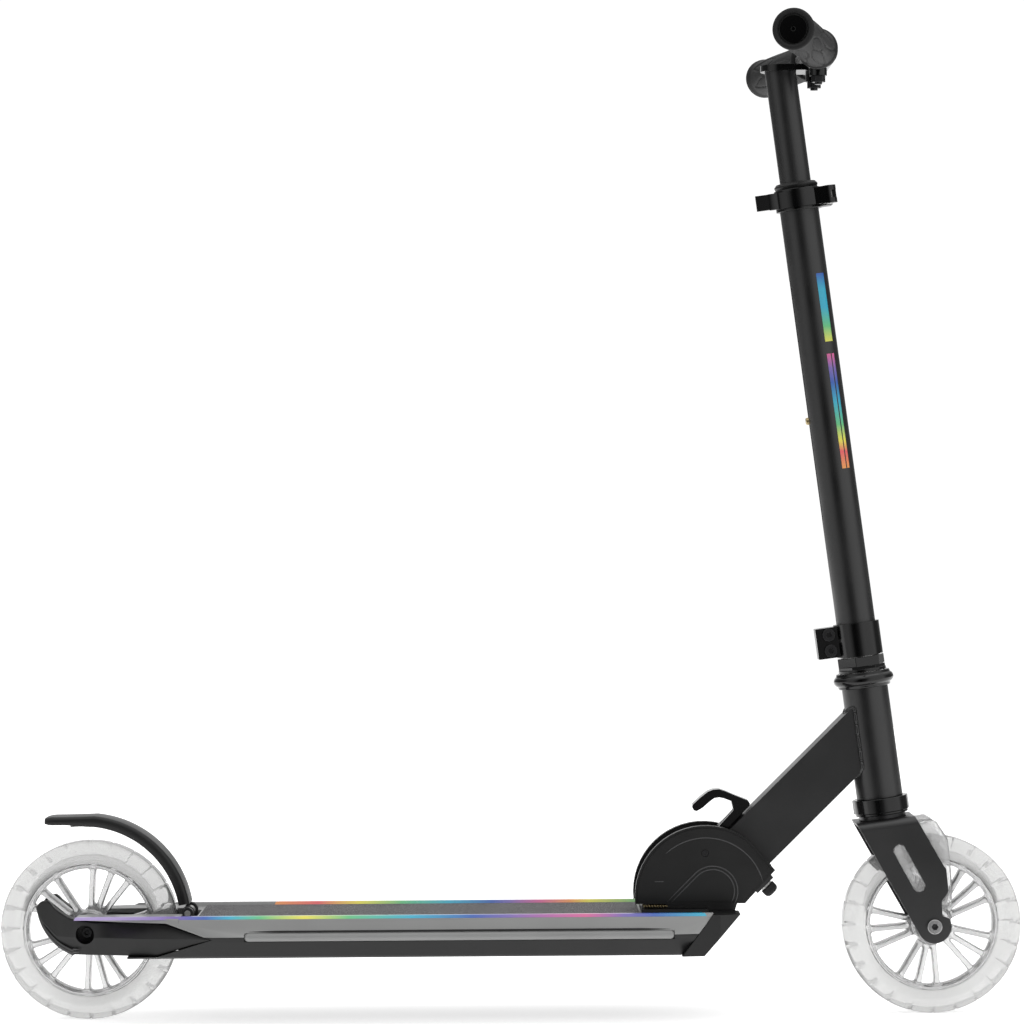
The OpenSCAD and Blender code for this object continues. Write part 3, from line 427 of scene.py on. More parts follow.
def tube_rings(points, radius, sides=12, closed=False):
    """Circles along a path, turned so that the tube doesn't twist."""
    points = [Vector(p) for p in points]
    count = len(points)
    rings, side = [], None
    for i, point in enumerate(points):
        before = points[(i - 1) % count] if closed or i else point
        after = points[(i + 1) % count] if closed or i < count - 1 else point
        along = (after - before).normalized()
        if side is None:
            side = along.orthogonal().normalized()
        side = (side - along * side.dot(along)).normalized()
        across = along.cross(side)
        r = radius(i / max(1, count - 1)) if callable(radius) else radius
        rings.append([
            point + (side * math.cos(math.tau * k / sides) + across * math.sin(math.tau * k / sides)) * r
            for k in range(sides)
        ])
    return rings


def tube(name, points, radius, sides=12, closed=False):
    return loft(name, tube_rings(points, radius, sides, closed), closed)


def bevelled(piece, width, segments=2, angle=35):
    """Rounds a piece's crisp edges with real geometry."""
    edge = piece.modifiers.new("rounded_edges", "BEVEL")
    edge.width = width
    edge.segments = segments
    edge.limit_method = "ANGLE"
    edge.angle_limit = math.radians(angle)
    edge.harden_normals = False
    weight = piece.modifiers.new("even_shading", "WEIGHTED_NORMAL")
    weight.keep_sharp = True
    return piece


def from_node(node, width):
    """A piece with a CAD node's exact shape, cleaned and given rounded edges."""
    build = bmesh.new()
    build.from_mesh(NODES[node].data)
    bmesh.ops.remove_doubles(build, verts=build.verts, dist=0.002 * MM)
    bmesh.ops.dissolve_limit(
        build, angle_limit=math.radians(0.6), verts=build.verts, edges=build.edges
    )
    mesh = bpy.data.meshes.new(node + "_look")
    build.to_mesh(mesh)
    build.free()
    piece = add_piece(node + "_look", mesh, SLOTS[node], BODY_OF[node], [node])
    if width:
        bevelled(piece, width)
    return piece


def arc_points(centre, radius, start, end, count):
    """(x, z) points along an arc, angles in degrees."""
    steps = [math.radians(start + (end - start) * i / count) for i in range(count + 1)]
    return [(centre[0] + radius * math.cos(a), centre[1] + radius * math.sin(a)) for a in steps]


def smooth_step(low, high, value):
    t = min(1, max(0, (value - low) / (high - low)))
    return t * t * (3 - 2 * t)


# ---------- wheels ----------

def wheel_point(side, radius, angle, across):
    centre = WHEELS[side]
    return Vector((
        centre.x + radius * math.cos(angle), centre.y + across, centre.z + radius * math.sin(angle)
    ))


def spin(name, side, profile, columns):
    """Turns a closed (radius, across) outline about a wheel's axle at the given angles."""
    rings = [[wheel_point(side, r, a, y) for r, y in profile(a)] for a in columns]
    return loft(name, rings, closed=True)


def add_tyre(side):
    """Tyre with a moulded lip at the rim and a groove across each shoulder every 15 degrees."""
    low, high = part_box(side + "_tyre")
    outer, half = (high.z - low.z) / 2, (high.y - low.y) / 2
    rim_r = outer - 18.5 * MM
    shoulder = 5 * MM
    grooves = 24
    pitch = math.tau / grooves
    edge = [(rim_r, half - 2 * MM), (rim_r + 0.8 * MM, half - 1.2 * MM), (rim_r + 3 * MM, half - 0.9 * MM),
            (rim_r + 3.6 * MM, half - 0.1 * MM), (rim_r + 8 * MM, half), (rim_r + 9.5 * MM, half)]
    edge += [
        (outer - shoulder + shoulder * math.sin(t), half - shoulder + shoulder * math.cos(t))
        for t in [math.radians(11.25 * i) for i in range(8)]
    ]
    edge += [(outer - 0.05 * MM, half - 7 * MM), (outer, 0.0)]
    outline = [(r, -y) for r, y in edge] + [(r, y) for r, y in edge[-2::-1]]

    def profile(angle):
        local = (angle % pitch) / pitch
        cut = smooth_step(0, 0.02, local) * (1 - smooth_step(0.05, 0.07, local))
        points = []
        for r, y in outline:
            reach = smooth_step(outer - 10 * MM, outer - 8 * MM, r) * smooth_step(3 * MM, 5 * MM, abs(y))
            depth = 0.9 * MM * cut * reach
            points.append((r - depth * 0.75, y - math.copysign(depth * 0.6, y)))
        return points

    fractions = (0, 0.02, 0.035, 0.055, 0.07, 0.2, 0.4, 0.6, 0.8)
    columns = [pitch * (i + f) for i in range(grooves) for f in fractions]
    add_piece(side + "_tyre_look", spin(side + "_tyre_look", side, profile, columns), "clear_tyre",
              side + "_wheel", [side + "_tyre"], sharp=60)


def squared(value):
    """Pushes a sine or cosine outwards, which turns a circle into a rounded rectangle."""
    return math.copysign(abs(value) ** 0.4, value)


def spoke_rings(side, angle, inner_r, outer_r, width, depth):
    """Flat-sided spoke that flares into the hub and the hoop."""
    stations, corners = 12, 16
    along = Vector((math.cos(angle), 0, math.sin(angle)))
    across = Vector((-math.sin(angle), 0, math.cos(angle)))
    rings = []
    for i in range(stations + 1):
        t = i / stations
        flare = 1 + 0.35 * (abs(2 * t - 1) ** 6)
        centre = WHEELS[side] + along * (inner_r + (outer_r - inner_r) * t)
        ring = []
        for k in range(corners):
            a = math.tau * k / corners
            ring.append(
                centre + across * (width / 2 * flare * squared(math.cos(a)))
                + Vector((0, depth / 2 * squared(math.sin(a)), 0))
            )
        rings.append(ring)
    return rings


def add_rim(side, group_angle):
    """Moulded core: hoop, hub and five groups of three spokes, blended into one skin."""
    low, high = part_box(side + "_rim")
    outer, half = (high.z - low.z) / 2, (high.y - low.y) / 2
    hoop_w = half - 2.2 * MM
    build = bmesh.new()

    def take(mesh):
        build.from_mesh(mesh)
        bpy.data.meshes.remove(mesh)

    turn = [math.tau * i / 96 for i in range(96)]
    hoop = [(outer, -hoop_w), (outer, hoop_w), (outer - 2 * MM, hoop_w), (outer - 4 * MM, hoop_w - 3 * MM),
            (outer - 4.4 * MM, 0), (outer - 4 * MM, -hoop_w + 3 * MM), (outer - 2 * MM, -hoop_w)]
    hub = [(11.2 * MM, -half), (11.2 * MM, half), (15.5 * MM, half), (16.4 * MM, 0), (15.5 * MM, -half)]
    take(spin("hoop", side, lambda a: hoop, turn))
    take(spin("hub", side, lambda a: hub, turn))
    for group in range(5):
        for spoke in (-1, 0, 1):
            angle = math.radians(group_angle + 72 * group + 18 * spoke)
            take(loft("spoke", spoke_rings(side, angle, 14 * MM, outer - 2.5 * MM, 4.8 * MM, 15 * MM)))
    mesh = bpy.data.meshes.new(side + "_rim_look")
    build.to_mesh(mesh)
    build.free()
    piece = add_piece(side + "_rim_look", mesh, "white_core", side + "_wheel", [side + "_rim"], sharp=70)
    skin = piece.modifiers.new("one_skin", "REMESH")
    skin.mode = "VOXEL"
    skin.voxel_size = 0.85 * MM
    skin.use_smooth_shade = True
    ease = piece.modifiers.new("eased", "SMOOTH")
    ease.factor = 0.5
    ease.iterations = 4


# ---------- handlebar and grips ----------

BAR_R = 11.1 * MM
ELBOW_Y = 32.8 * MM
SWEEP = math.radians(13)
GRIP_START = 7 * MM
GRIP_LENGTH = 130 * MM
BAR_LOW, BAR_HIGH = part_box("handlebar")
BAR_CENTRE = Vector((BAR_HIGH.x - BAR_R, 0, (BAR_LOW.z + BAR_HIGH.z) / 2))


def swept_point(side, along, radial=0.0, angle=0.0):
    """Point beside one swept half of the bar, from its elbow. side is -1 on the right, 1 on the left."""
    direction = Vector((-math.sin(SWEEP), side * math.cos(SWEEP), 0))
    forward = Vector((math.cos(SWEEP), side * math.sin(SWEEP), 0))
    start = BAR_CENTRE + Vector((0, side * ELBOW_Y, 0))
    up = Vector((0, 0, 1))
    return start + direction * along + (forward * math.cos(angle) + up * math.sin(angle)) * radial


def add_handlebar():
    """Bar bent smoothly at both elbows."""
    bend = 14 * MM
    half = []
    for i in range(9):
        t = i / 8
        before = BAR_CENTRE + Vector((0, ELBOW_Y - bend, 0))
        corner = BAR_CENTRE + Vector((0, ELBOW_Y, 0))
        after = swept_point(1, bend)
        half.append(before * (1 - t) ** 2 + corner * 2 * t * (1 - t) + after * t ** 2)
    half.append(swept_point(1, GRIP_START + GRIP_LENGTH - 2 * MM))
    other = [Vector((p.x, -p.y, p.z)) for p in reversed(half)]
    mesh = tube("handlebar_look", other + half, BAR_R, 48)
    add_piece("handlebar_look", mesh, "dark_paint", "bar_assembly", ["handlebar"], sharp=60)


def grip_relief(along, angle):
    """Depth of the moulded pattern: long pointed leaves outlined by a groove."""
    depth = 0.0
    leaves = 6
    for k in range(leaves):
        for middle, length, shift in ((48 * MM, 42 * MM, 0.0), (88 * MM, 28 * MM, 0.5)):
            centre = math.tau * (k + shift) / leaves + (along - middle) * 3
            turn = (angle - centre + math.pi) % math.tau - math.pi
            a = (along - middle) / length
            leaf = a * a + abs(turn) / 0.3
            depth = max(depth, 1.1 * MM * math.exp(-((leaf - 1) / 0.17) ** 2))
            depth = max(depth, 0.35 * MM * (1 - smooth_step(0.7, 1.0, leaf)))
    return depth


def add_grip(name, side):
    """Rubber grip: flange at each end, moulded ovals, and a recessed end with a vent."""
    flange, body = 16.4 * MM, 15.1 * MM
    end = GRIP_LENGTH + 3 * MM
    outline = [(0, BAR_R + 0.1 * MM), (0, flange - 1 * MM), (0.5 * MM, flange - 0.3 * MM),
               (1.2 * MM, flange), (3.4 * MM, flange), (4.2 * MM, flange - 0.4 * MM), (5.4 * MM, body)]
    rows = 96
    first, last = 6 * MM, end - 11 * MM
    outline += [(first + (last - first) * i / rows, body) for i in range(rows + 1)]
    outline += [(end - 9 * MM, body + 0.2 * MM), (end - 7 * MM, flange - 0.4 * MM), (end - 5 * MM, flange),
                (end - 2.2 * MM, flange), (end - 0.7 * MM, flange - 0.5 * MM), (end, flange - 1.8 * MM),
                (end, 13 * MM), (end - 0.5 * MM, 12.5 * MM), (end - 1.9 * MM, 12.3 * MM),
                (end - 2.1 * MM, 11.4 * MM), (end - 2.1 * MM, 2.2 * MM), (end - 2.6 * MM, 1.8 * MM),
                (end - 4.6 * MM, 1.7 * MM)]
    sides = 120
    rings = []
    for along, radius in outline:
        ring = []
        for k in range(sides):
            angle = math.tau * k / sides
            relief = grip_relief(along, angle) if first < along < last and radius == body else 0
            ring.append(swept_point(side, GRIP_START + along, radius - relief, angle))
        rings.append(ring)
    add_piece(name + "_look", loft(name + "_look", rings), "black_rubber", "bar_assembly", [name], sharp=50)


def add_grip_plug(name, side):
    """Dark disc that closes the recess in a grip's end, with a small vent."""
    floor = GRIP_START + GRIP_LENGTH + 3 * MM - 2.1 * MM
    outline = [(-0.3, 1.5), (0.6, 1.5), (0.8, 1.7), (0.8, 2),
               (0.8, 10.6), (0.8, 10.9), (0.5, 11.2), (-0.3, 11.3)]
    rings = [
        [swept_point(side, floor + along * MM, r * MM, math.tau * k / 64) for k in range(64)]
        for along, r in outline
    ]
    disc = loft(name + "_plug", rings, closed=True)
    add_piece(name + "_plug", disc, "gloss_black", "bar_assembly", sharp=50)


def add_weld_bead():
    """Rippled weld where the strut's rounded outline meets the head tube."""
    low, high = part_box("head_tube")
    tube_r = (high.y - low.y) / 2
    lean_back = STEM.inverted()
    run = Vector((math.cos(STRUT_ANGLE), 0, math.sin(STRUT_ANGLE)))
    across = Vector((-math.sin(STRUT_ANGLE), 0, math.cos(STRUT_ANGLE)))
    half_h, half_w, corner, ripples = 21.2 * MM, 14.5 * MM, 3 * MM, 88
    outline = []
    for sign_h, sign_w, first in ((1, 1, 0), (-1, 1, 90), (-1, -1, 180), (1, -1, 270)):
        centre = (sign_h * (half_h - corner), sign_w * (half_w - corner))
        for k in range(7):
            a = math.radians(first + 15 * k)
            outline.append((centre[0] + corner * math.cos(a), centre[1] + corner * math.sin(a)))
    points = []
    for (h0, w0), (h1, w1) in zip(outline, outline[1:] + outline[:1]):
        steps = max(1, round(math.hypot(h1 - h0, w1 - w0) / (0.7 * MM)))
        for k in range(steps):
            h, w = h0 + (h1 - h0) * k / steps, w0 + (w1 - w0) * k / steps
            start = lean_back @ (FOLD_PIVOT + across * h + Vector((0, w, 0)))
            way = lean_back.to_3x3() @ run
            gap = tube_r ** 2 - start.y ** 2
            points.append(STEM @ (start + way * ((-math.sqrt(gap) - start.x) / way.x)))
    bead = tube("weld_bead", points, lambda t: (1.7 + 0.35 * math.sin(ripples * math.tau * t)) * MM, 10,
                closed=True)
    add_piece("weld_bead", bead, "dark_paint", "neck", sharp=60)


def add_axle_sockets():
    """Dark hexagon sockets in the heads of the front axle screws."""
    wheel = WHEELS["front"]
    for name, side in (("axle_socket_right", -1), ("axle_socket_left", 1)):
        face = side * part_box("front_axle_screws")[1].y
        outline = [(2.9, -1.4), (2.9, 0.05), (2.1, 0.05), (1.7, -0.9), (0.2, -1.0), (0.2, -1.4)]
        rings = [
            [wheel + Vector((r * MM * math.cos(a), face - wheel.y + side * out * MM, r * MM * math.sin(a)))
             for r, out in outline]
            for a in [math.tau * i / 6 for i in range(6)]
        ]
        add_piece(name, loft(name, rings, closed=True), "black_steel", "steering", sharp=30)


# ---------- brake ----------

FENDER_CENTRE = Vector((-347 * MM, 0, 79 * MM))
FENDER_R = 87.3 * MM
FENDER_TIP = Vector((-378.2 * MM, 0, 165.1 * MM))
FENDER_HALF = 16.9 * MM


def fender_stations():
    """(outer point, inward direction) along the fender: an arc up from the pin, then a flat tail."""
    stations = []
    for i in range(31):
        a = math.radians(10 + 74 * i / 30)
        out = Vector((math.cos(a), 0, math.sin(a)))
        stations.append((FENDER_CENTRE + out * FENDER_R, -out))
    start, inward = stations[-1]
    handle = start + Vector((-14 * MM, 0, -0.6 * MM))
    for i in range(1, 17):
        t = i / 16
        point = start * (1 - t) ** 2 + handle * 2 * t * (1 - t) + FENDER_TIP * t ** 2
        lean = (inward.x * (1 - t), inward.z * (1 - t) - t)
        stations.append((point, Vector((lean[0], 0, lean[1])).normalized()))
    return stations


def fender_section(depth, skin, half, squeeze):
    """Closed outline as (depth below the outer face, across), with rounded outer corners."""
    corner = 3.2 * MM
    right = [(depth - 0.6 * MM, half), (corner, half)]
    right += [
        (corner - corner * math.sin(t) + squeeze, half - corner + corner * math.cos(t))
        for t in [math.radians(15 * i) for i in range(1, 7)]
    ]
    crown = squeeze - 0.25 * MM * (1 - squeeze / (3 * MM))
    outside = right + [(crown, 0)] + [(d, -y) for d, y in reversed(right)]
    lip = half - 2.6 * MM
    inside = [(depth, -half + 0.6 * MM), (depth, -lip), (skin + 0.6 * MM, -lip + 0.3 * MM),
              (skin, -lip + 1.2 * MM), (skin, lip - 1.2 * MM), (skin + 0.6 * MM, lip - 0.3 * MM),
              (depth, lip), (depth, half - 0.6 * MM)]
    return outside + inside


def add_fender():
    """Hollow fender that closes into a flat foot pad, and a boss around its pin on each side."""
    stations = fender_stations()
    rings = []
    last = len(stations) - 1
    for i, (outer, inward) in enumerate(stations):
        tail = smooth_step(last - 16, last - 4, i)
        shut = smooth_step(last - 4, last - 2, i)
        depth = (8.8 - 2.3 * tail) * MM
        skin = 3 * MM + (depth - 3.7 * MM) * shut
        round_off = (0, 0.25 * MM, 1.1 * MM)[max(0, i - last + 2)]
        skin = min(skin, depth - round_off - 0.8 * MM)
        section = fender_section(depth - round_off, skin, FENDER_HALF - round_off, round_off)
        rings.append([outer + inward * d + Vector((0, y, 0)) for d, y in section])
    add_piece("brake_fender_look", loft("brake_fender_look", rings), "dark_plastic", "brake",
              ["brake_fender"], sharp=50)
    boss = [(2.6, 13.1), (4.9, 13.1), (5.4, 13.6), (5.4, 16.9), (4.9, 17.4), (2.6, 17.4)]
    for name, side in (("fender_boss_right", -1), ("fender_boss_left", 1)):
        rings = [
            [BRAKE_PIVOT + Vector((r * math.cos(a), side * y, r * math.sin(a))) * MM for r, y in boss]
            for a in [math.tau * i / 40 for i in range(40)]
        ]
        add_piece(name, loft(name, rings, closed=True), "dark_plastic", "brake")


# ---------- deck sides ----------

def side_trim(side):
    """Half-round strip along one side of the deck, with round ends."""
    low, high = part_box("side_trims")
    radius, wall = (high.z - low.z) / 2, high.y - (high.z - low.z) / 2
    stops, corners = 12, 14
    ends = [1 - math.cos(math.radians(90 * i / stops)) for i in range(stops + 1)]
    places = [low.x + radius * e for e in ends] + [high.x - radius * e for e in reversed(ends)]
    rings = []
    for x in places:
        reach = min(x - low.x, high.x - x, radius)
        r = max(0.06 * MM, math.sqrt(max(0, radius ** 2 - (radius - reach) ** 2)))
        ring = [(wall - 0.5 * MM, -r)] + [
            (wall + r * math.cos(a), r * math.sin(a))
            for a in [math.radians(180 * k / corners - 90) for k in range(corners + 1)]
        ] + [(wall - 0.5 * MM, r)]
        rings.append([Vector((x, side * y, (low.z + high.z) / 2 + z)) for y, z in ring])
    return loft("trim", rings)


def add_side_trims():
    build = bmesh.new()
    for side in (-1, 1):
        half = side_trim(side)
        build.from_mesh(half)
        bpy.data.meshes.remove(half)
    mesh = bpy.data.meshes.new("side_trims_look")
    build.to_mesh(mesh)
    build.free()
    add_piece("side_trims_look", mesh, SLOTS["side_trims"], "deck", ["side_trims"], sharp=60)


# ---------- rear covers ----------

COVER_RIDGE_Z = 70.5 * MM
COVER_FRONT = -241 * MM
COVER_BACK = -384 * MM


def ramp_through(points, x):
    """Straight-line interpolation through (x, value) points in millimetres, in metres."""
    x /= MM
    for (x0, v0), (x1, v1) in zip(points, points[1:]):
        if x <= x1:
            return MM * (v0 + (v1 - v0) * max(0, x - x0) / (x1 - x0))
    return MM * points[-1][1]


def cover_plan(x):
    """Distance of the cover's outer wall from the middle of the scooter."""
    return ramp_through([(-386, 26), (-366, 33.7), (-343, 43.7), (-300, 55.6), (-238, 66.6)], x)


def cover_top(x):
    if x < -371 * MM:
        return ramp_through([(-384, 93.5), (-382, 96.6), (-379.5, 98.1), (-374, 98.8), (-371, 96)], x)
    if x < -345 * MM:
        return 123 * MM - math.sqrt((39.9 * MM) ** 2 - (x + 342 * MM) ** 2)
    return ramp_through([(-345, 83.2), (-338, 82.6), (-276.5, 81), (-241, 70.4)], x)


def cover_bottom(x):
    if x < -353 * MM:
        return 97 * MM - math.sqrt(max(0, (44.3 * MM) ** 2 - (x + 340 * MM) ** 2))
    return ramp_through([(-353, 55.8), (-345, 55.9), (-284, 56.1), (-241, 69.8)], x)


def add_rear_cover(name, side):
    """Side cover with an upturned tail, a leaning upper face that fades out, and an axle recess."""
    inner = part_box(name)[0].y if side > 0 else -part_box(name)[1].y
    stops = 90
    rings = []
    for i in range(stops + 1):
        x = COVER_BACK + (COVER_FRONT - COVER_BACK) * i / stops
        low, high = cover_bottom(x), cover_top(x)
        middle = min(max(COVER_RIDGE_Z, low + 0.3 * (high - low)), low + 0.7 * (high - low))
        wall = cover_plan(x)
        facet = 6.5 * MM * smooth_step(-334 * MM, -311 * MM, x) * (high - middle) / (12.5 * MM)
        under = 4 * MM * (middle - low) / (15 * MM)
        edge = min(1.1 * MM, 0.12 * (high - low))
        bottom_y, top_y = wall - under, wall - facet
        section = [
            (inner, low), (bottom_y - edge, low), (bottom_y - 0.2 * edge, low + 0.5 * edge),
            (bottom_y + 0.1 * edge, low + 1.3 * edge), (wall - 0.12 * MM, middle - 0.04 * (middle - low)),
            (wall, middle), (wall - 0.12 * MM, middle + 0.048 * (high - middle)),
            (top_y + 0.15 * edge, high - 1.3 * edge), (top_y - 0.2 * edge, high - 0.4 * edge),
            (top_y - edge, high), (inner, high),
        ]
        rings.append([Vector((x, side * y, z)) for y, z in section])
    piece = add_piece(name + "_look", loft(name + "_look", rings), "dark_plastic", "deck", [name], sharp=24)
    drill_mesh = loft("drill", [
        [wheel_point("rear", 7.75 * MM, math.tau * k / 64, side * y) for k in range(64)]
        for y in (inner + 2.2 * MM, 60 * MM)
    ])
    drill = bpy.data.objects.new(name + "_drill", drill_mesh)
    bpy.context.collection.objects.link(drill)
    cut = piece.modifiers.new("axle_recess", "BOOLEAN")
    cut.operation = "DIFFERENCE"
    cut.solver = "EXACT"
    cut.object = drill
    bpy.context.view_layer.update()
    graph = bpy.context.evaluated_depsgraph_get()
    finished = bpy.data.meshes.new_from_object(piece.evaluated_get(graph))
    piece.modifiers.remove(cut)
    piece.data = finished
    bpy.data.objects.remove(drill)
    bevelled(piece, 0.35 * MM, 2, 50)


def add_cover_lines(name, side):
    """Two raised lines along the outer edge of a cover's tail, in the lighter charcoal that paints a
    highlight along each line.
    """
    for tag, rise in (("low", 2.4), ("high", 4.6)):
        line = []
        for i in range(41):
            x = (-379 + 31 * i / 40) * MM
            line.append(Vector((x, side * (cover_plan(x) - 0.45 * MM), cover_bottom(x) + rise * MM)))
        shape = tube("line", line, lambda t: 0.75 * MM * min(1, 0.1 + 8 * min(t, 1 - t)), 10)
        add_piece(f"{name}_line_{tag}", shape, "dark_plastic", "deck", look=MATERIALS["ridge_highlight_plastic"],
                  sharp=60)


# ---------- hinge ----------

HINGE_HALF = 26.5 * MM
DECK_WALL = 64.9 * MM


def ridge(name, outline, y, radius, look="ridge_highlight_plastic"):
    """Moulded line that stands half out of a side face. outline holds (x, z) points. Its default look is
    the lighter charcoal, a painted highlight along the line.
    """
    points = [Vector((x * MM, y, z * MM)) for x, z in outline]
    shape = tube(name, points, lambda t: radius * min(1, 0.15 + 12 * min(t, 1 - t)), 10)
    add_piece(name, shape, "dark_plastic", "deck", look=MATERIALS[look], sharp=60)


def add_hinge_lines(side, label):
    """Raised arc along the rim and a double loop around the fold pivot, in the lighter charcoal that paints
    a highlight along each line.
    """
    face = side * (HINGE_HALF - 0.12 * MM)
    loop_centre = (163.8, 102.2)
    for radius, tag in ((20.2, "outer"), (17.5, "inner")):
        arc = arc_points(loop_centre, radius, 135, -31, 30)
        start = arc[0]
        reach = start[1] - 93.6
        straight = [(start[0] - reach * (1 - i / 6), start[1] - reach * (1 - i / 6)) for i in range(6)]
        ridge(f"hinge_loop_{tag}_{label}", straight + arc, face, 0.55 * MM)
    ridge(f"hinge_rim_line_{label}", arc_points((158.3, 97.7), 47.7, 134, 14, 40), face, 0.5 * MM)
    ridge(f"hinge_short_line_{label}", [(116.5 + i, 110.2) for i in range(9)], face, 0.4 * MM)


def add_trim_shadow_line(side, label):
    """Painted shadow: a matte black line just above the trim strip on one side of the deck, standing for
    the shade in the groove there.
    """
    low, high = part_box("side_trims")
    start, length = low.x / MM + 2, (high.x - low.x) / MM - 4
    outline = [(start + length * i / 60, 76.2) for i in range(61)]
    ridge(f"trim_shadow_line_{label}", outline, side * DECK_WALL, 0.9 * MM, look="black_rubber")


def add_coil(name, node, start, along, side, radius, wire, turns, length, slot, body):
    """Round-wire coil with an even pitch along its length."""
    steps = 18
    along, side = Vector(along), Vector(side)
    other = along.cross(side)
    points = []
    count = turns * steps
    for i in range(count + 1):
        a = math.tau * i / steps
        t = i / count
        points.append(
            Vector(start) + along * (length * t)
            + (side * math.cos(a) + other * math.sin(a)) * radius
        )
    add_piece(name, tube(name, points, wire, 10), slot, body, [node], sharp=60)


# ---------- printed stripes ----------

def add_rail_stripe(name, side, start, end, path, look):
    """Thin printed film folded over a rail, with slanted ends.

    path holds (across, below the rail's top, slope of the normal in degrees from upright), in mm.
    """
    rail_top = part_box("deck_plate")[1].z
    slant, pieces = 4, 40
    rings = []
    for i in range(pieces + 1):
        t = i / pieces
        ring = []
        for lift, order in ((0.02, path), (0.1, path[::-1])):
            for across, below, lean in order:
                inset = slant * (across - path[0][0]) / (path[-1][0] - path[0][0])
                x = start + inset + (end - start - 2 * inset) * t
                y = across + lift * math.sin(math.radians(lean))
                z = lift * math.cos(math.radians(lean)) - below
                ring.append(Vector((x * MM, side * y * MM, rail_top + z * MM)))
        rings.append(ring)
    add_piece(name, loft(name, rings), "grey_paint", "deck", look=look)


def add_stem_stripe(name, low_w, high_w, from_deg, to_deg, look):
    """Printed film wrapped on the lower stem tube, angles from its right face towards the front."""
    radius = 15.9 * MM
    rows, columns = 30, 8
    rings = []
    for i in range(rows + 1):
        w = (low_w + (high_w - low_w) * i / rows) * MM
        ring = []
        for lift, order in ((0.02, range(columns + 1)), (0.1, range(columns, -1, -1))):
            r = radius + lift * MM
            for k in order:
                a = math.radians(from_deg + (to_deg - from_deg) * k / columns)
                ring.append(STEM @ Vector((r * math.sin(a), -r * math.cos(a), w)))
        rings.append(ring)
    add_piece(name, loft(name, rings), "dark_paint", "steering", look=look)


# ---------- the object ----------

# Width of the rounded edges of a CAD node's look, in millimetres
EDGE_WIDTH = 0.25
EDGE_WIDTHS = {
    "deck_plate": 0.35, "deck_tray": 0.8, "grip_tape": 0.2, "nose_cap": 0.6,
    "hinge_cover_right": 0.6, "hinge_cover_left": 0.6, "fold_lever": 1.1, "neck_strut": 1.6,
    "fork": 0.6, "lower_clamp": 0.8, "qr_collar": 0.7, "qr_lever": 0.6, "bar_bracket": 0.8,
    "stop_knob": 0.5, "hinge_bracket": 0.4, "lock_nut": 0.6, "lower_cup": 0.8, "lock_washer": 0.3,
    "upper_cup": 0.3, "button_spring": 0, "brake_shoe": 0.4,
}


def add_clear_guard():
    """Clear guard with a rippled surface, remeshed so that the ripples are real."""
    piece = from_node("fork_guard", width=0)
    skin = piece.modifiers.new("one_skin", "REMESH")
    skin.mode = "VOXEL"
    skin.voxel_size = 0.7 * MM
    skin.use_smooth_shade = True
    ripple = bpy.data.textures.new("ripple", "CLOUDS")
    ripple.noise_scale = 4 * MM
    lift = piece.modifiers.new("ripples", "DISPLACE")
    lift.texture = ripple
    lift.texture_coords = "LOCAL"
    lift.strength = 0.5 * MM
    lift.mid_level = 0.6


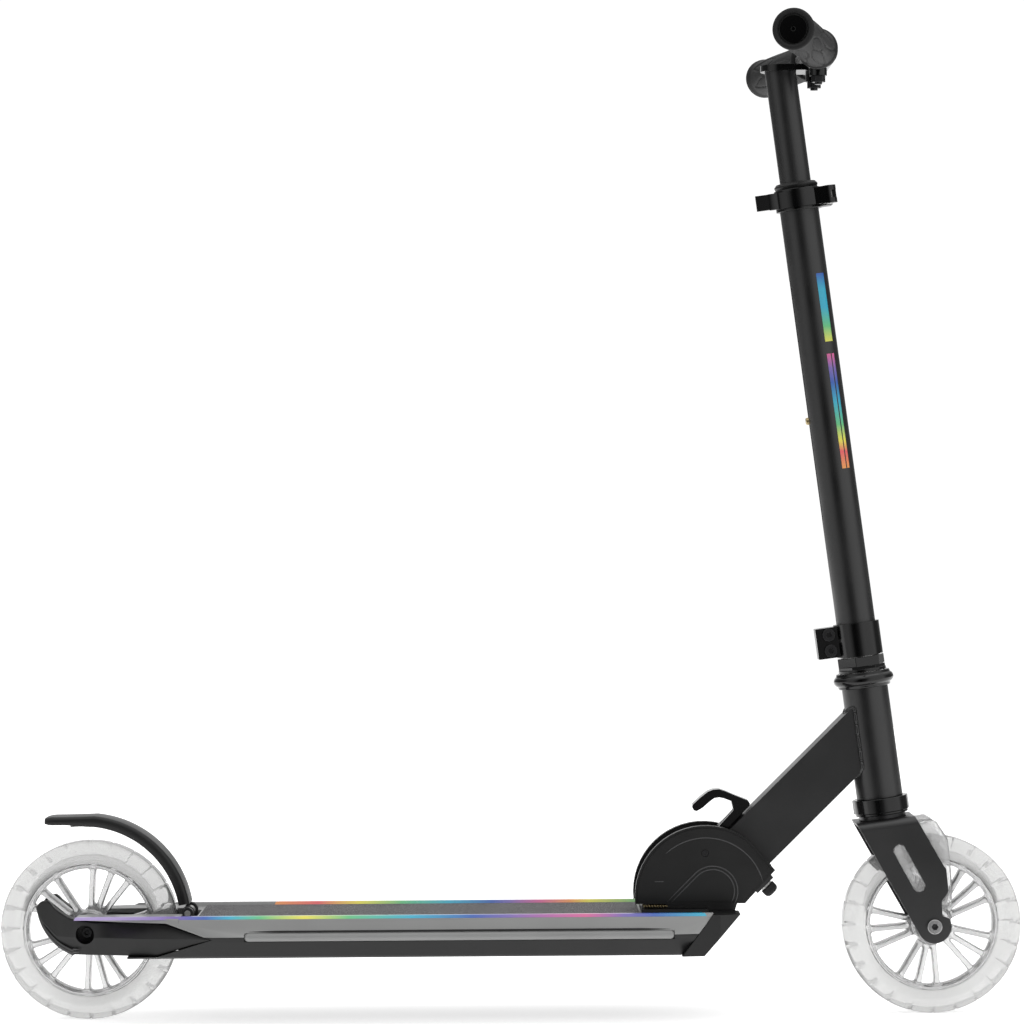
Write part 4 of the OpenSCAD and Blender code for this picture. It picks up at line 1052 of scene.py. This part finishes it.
def add_stripes():
    """Printed films with a colour run, on the deck's rails and on the stem."""
    rail_near = gradient("rail_film_near", "X", [
        (-0.32, "lilac"), (-0.27, "violet"), (-0.245, "blue"), (-0.225, "cyan"), (-0.2, "green"),
        (-0.165, "yellow"), (-0.13, "green"), (-0.08, "cyan"), (-0.03, "blue"), (0.0, "violet"),
        (0.06, "pink"), (0.09, "violet"), (0.115, "blue"), (0.155, "cyan")])
    rail_far = gradient("rail_film_far", "X", [
        (-0.2, "orange"), (-0.16, "red"), (-0.125, "yellow"), (-0.09, "green"), (-0.05, "cyan"),
        (-0.015, "blue"), (0.0, "violet"), (0.025, "pink"), (0.05, "orange"), (0.065, "yellow"),
        (0.11, "green")])
    outer_fold = [(60.4, 2.24, 50), (58.45, 0, 25), (53.9, 0, 0)]
    inner_fold = [(52, 2.2, -56), (53.55, 0, -28), (58.1, 0, 0)]
    add_rail_stripe("rail_stripe_right", -1, -350, 157, outer_fold, rail_near)
    add_rail_stripe("rail_stripe_left", 1, -196, 118, inner_fold, rail_far)
    wide = gradient("stem_film_wide", "Z", [
        (0.546, "yellow"), (0.56, "green"), (0.575, "cyan"), (0.59, "cyan"), (0.603, "blue")])
    thin = gradient("stem_film_thin", "Z", [
        (0.444, "orange"), (0.458, "red"), (0.467, "yellow"), (0.48, "green"), (0.498, "cyan"),
        (0.514, "blue"), (0.526, "violet"), (0.537, "pink")])
    add_stem_stripe("stem_stripe_wide", 551, 607, 19, 46, wide)
    add_stem_stripe("stem_stripe_thin_a", 447, 541, 18, 31, thin)
    add_stem_stripe("stem_stripe_thin_b", 447, 541, 35, 44, thin)


def add_springs():
    """Round-wire coils in place of the CAD's plain spring bodies."""
    middle = sum(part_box("latch_spring"), Vector()) / 2
    add_coil("latch_spring_look", "latch_spring", (107 * MM, middle.y, middle.z), (1, 0, 0), (0, 1, 0),
             1.5 * MM, 0.38 * MM, 9, 20 * MM, "brass", "deck")
    low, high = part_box("brake_spring")
    add_coil("brake_spring_look", "brake_spring", (BRAKE_PIVOT.x, low.y + 0.7 * MM, BRAKE_PIVOT.z),
             (0, 1, 0), (1, 0, 0), 3.6 * MM, 0.58 * MM, 8, high.y - low.y - 1.4 * MM, "zinc_steel", "deck")


def add_plain_nodes():
    """Every CAD node that nothing else replaces keeps its own shape, with rounded edges."""
    replaced = {node for piece in bpy.data.objects for node in piece.get("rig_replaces", [])}
    pieces = {
        node: from_node(node, EDGE_WIDTHS.get(node, EDGE_WIDTH) * MM)
        for node in NODES if node not in replaced
    }
    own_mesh(pieces["button_spring"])


def build_object():
    add_camera()
    add_floor()
    add_lights()
    for side in ("front", "rear"):
        add_tyre(side)
    add_rim("front", -31)
    add_rim("rear", -3)
    add_handlebar()
    add_grip("grip_right", -1)
    add_grip("grip_left", 1)
    add_grip_plug("grip_right", -1)
    add_grip_plug("grip_left", 1)
    add_side_trims()
    add_weld_bead()
    add_axle_sockets()
    add_fender()
    for name, side in (("rear_cover_right", -1), ("rear_cover_left", 1)):
        add_rear_cover(name, side)
        add_cover_lines(name, side)
    for side, label in ((-1, "right"), (1, "left")):
        add_hinge_lines(side, label)
        add_trim_shadow_line(side, label)
    add_clear_guard()
    add_stripes()
    add_springs()
    add_plain_nodes()


build_object()
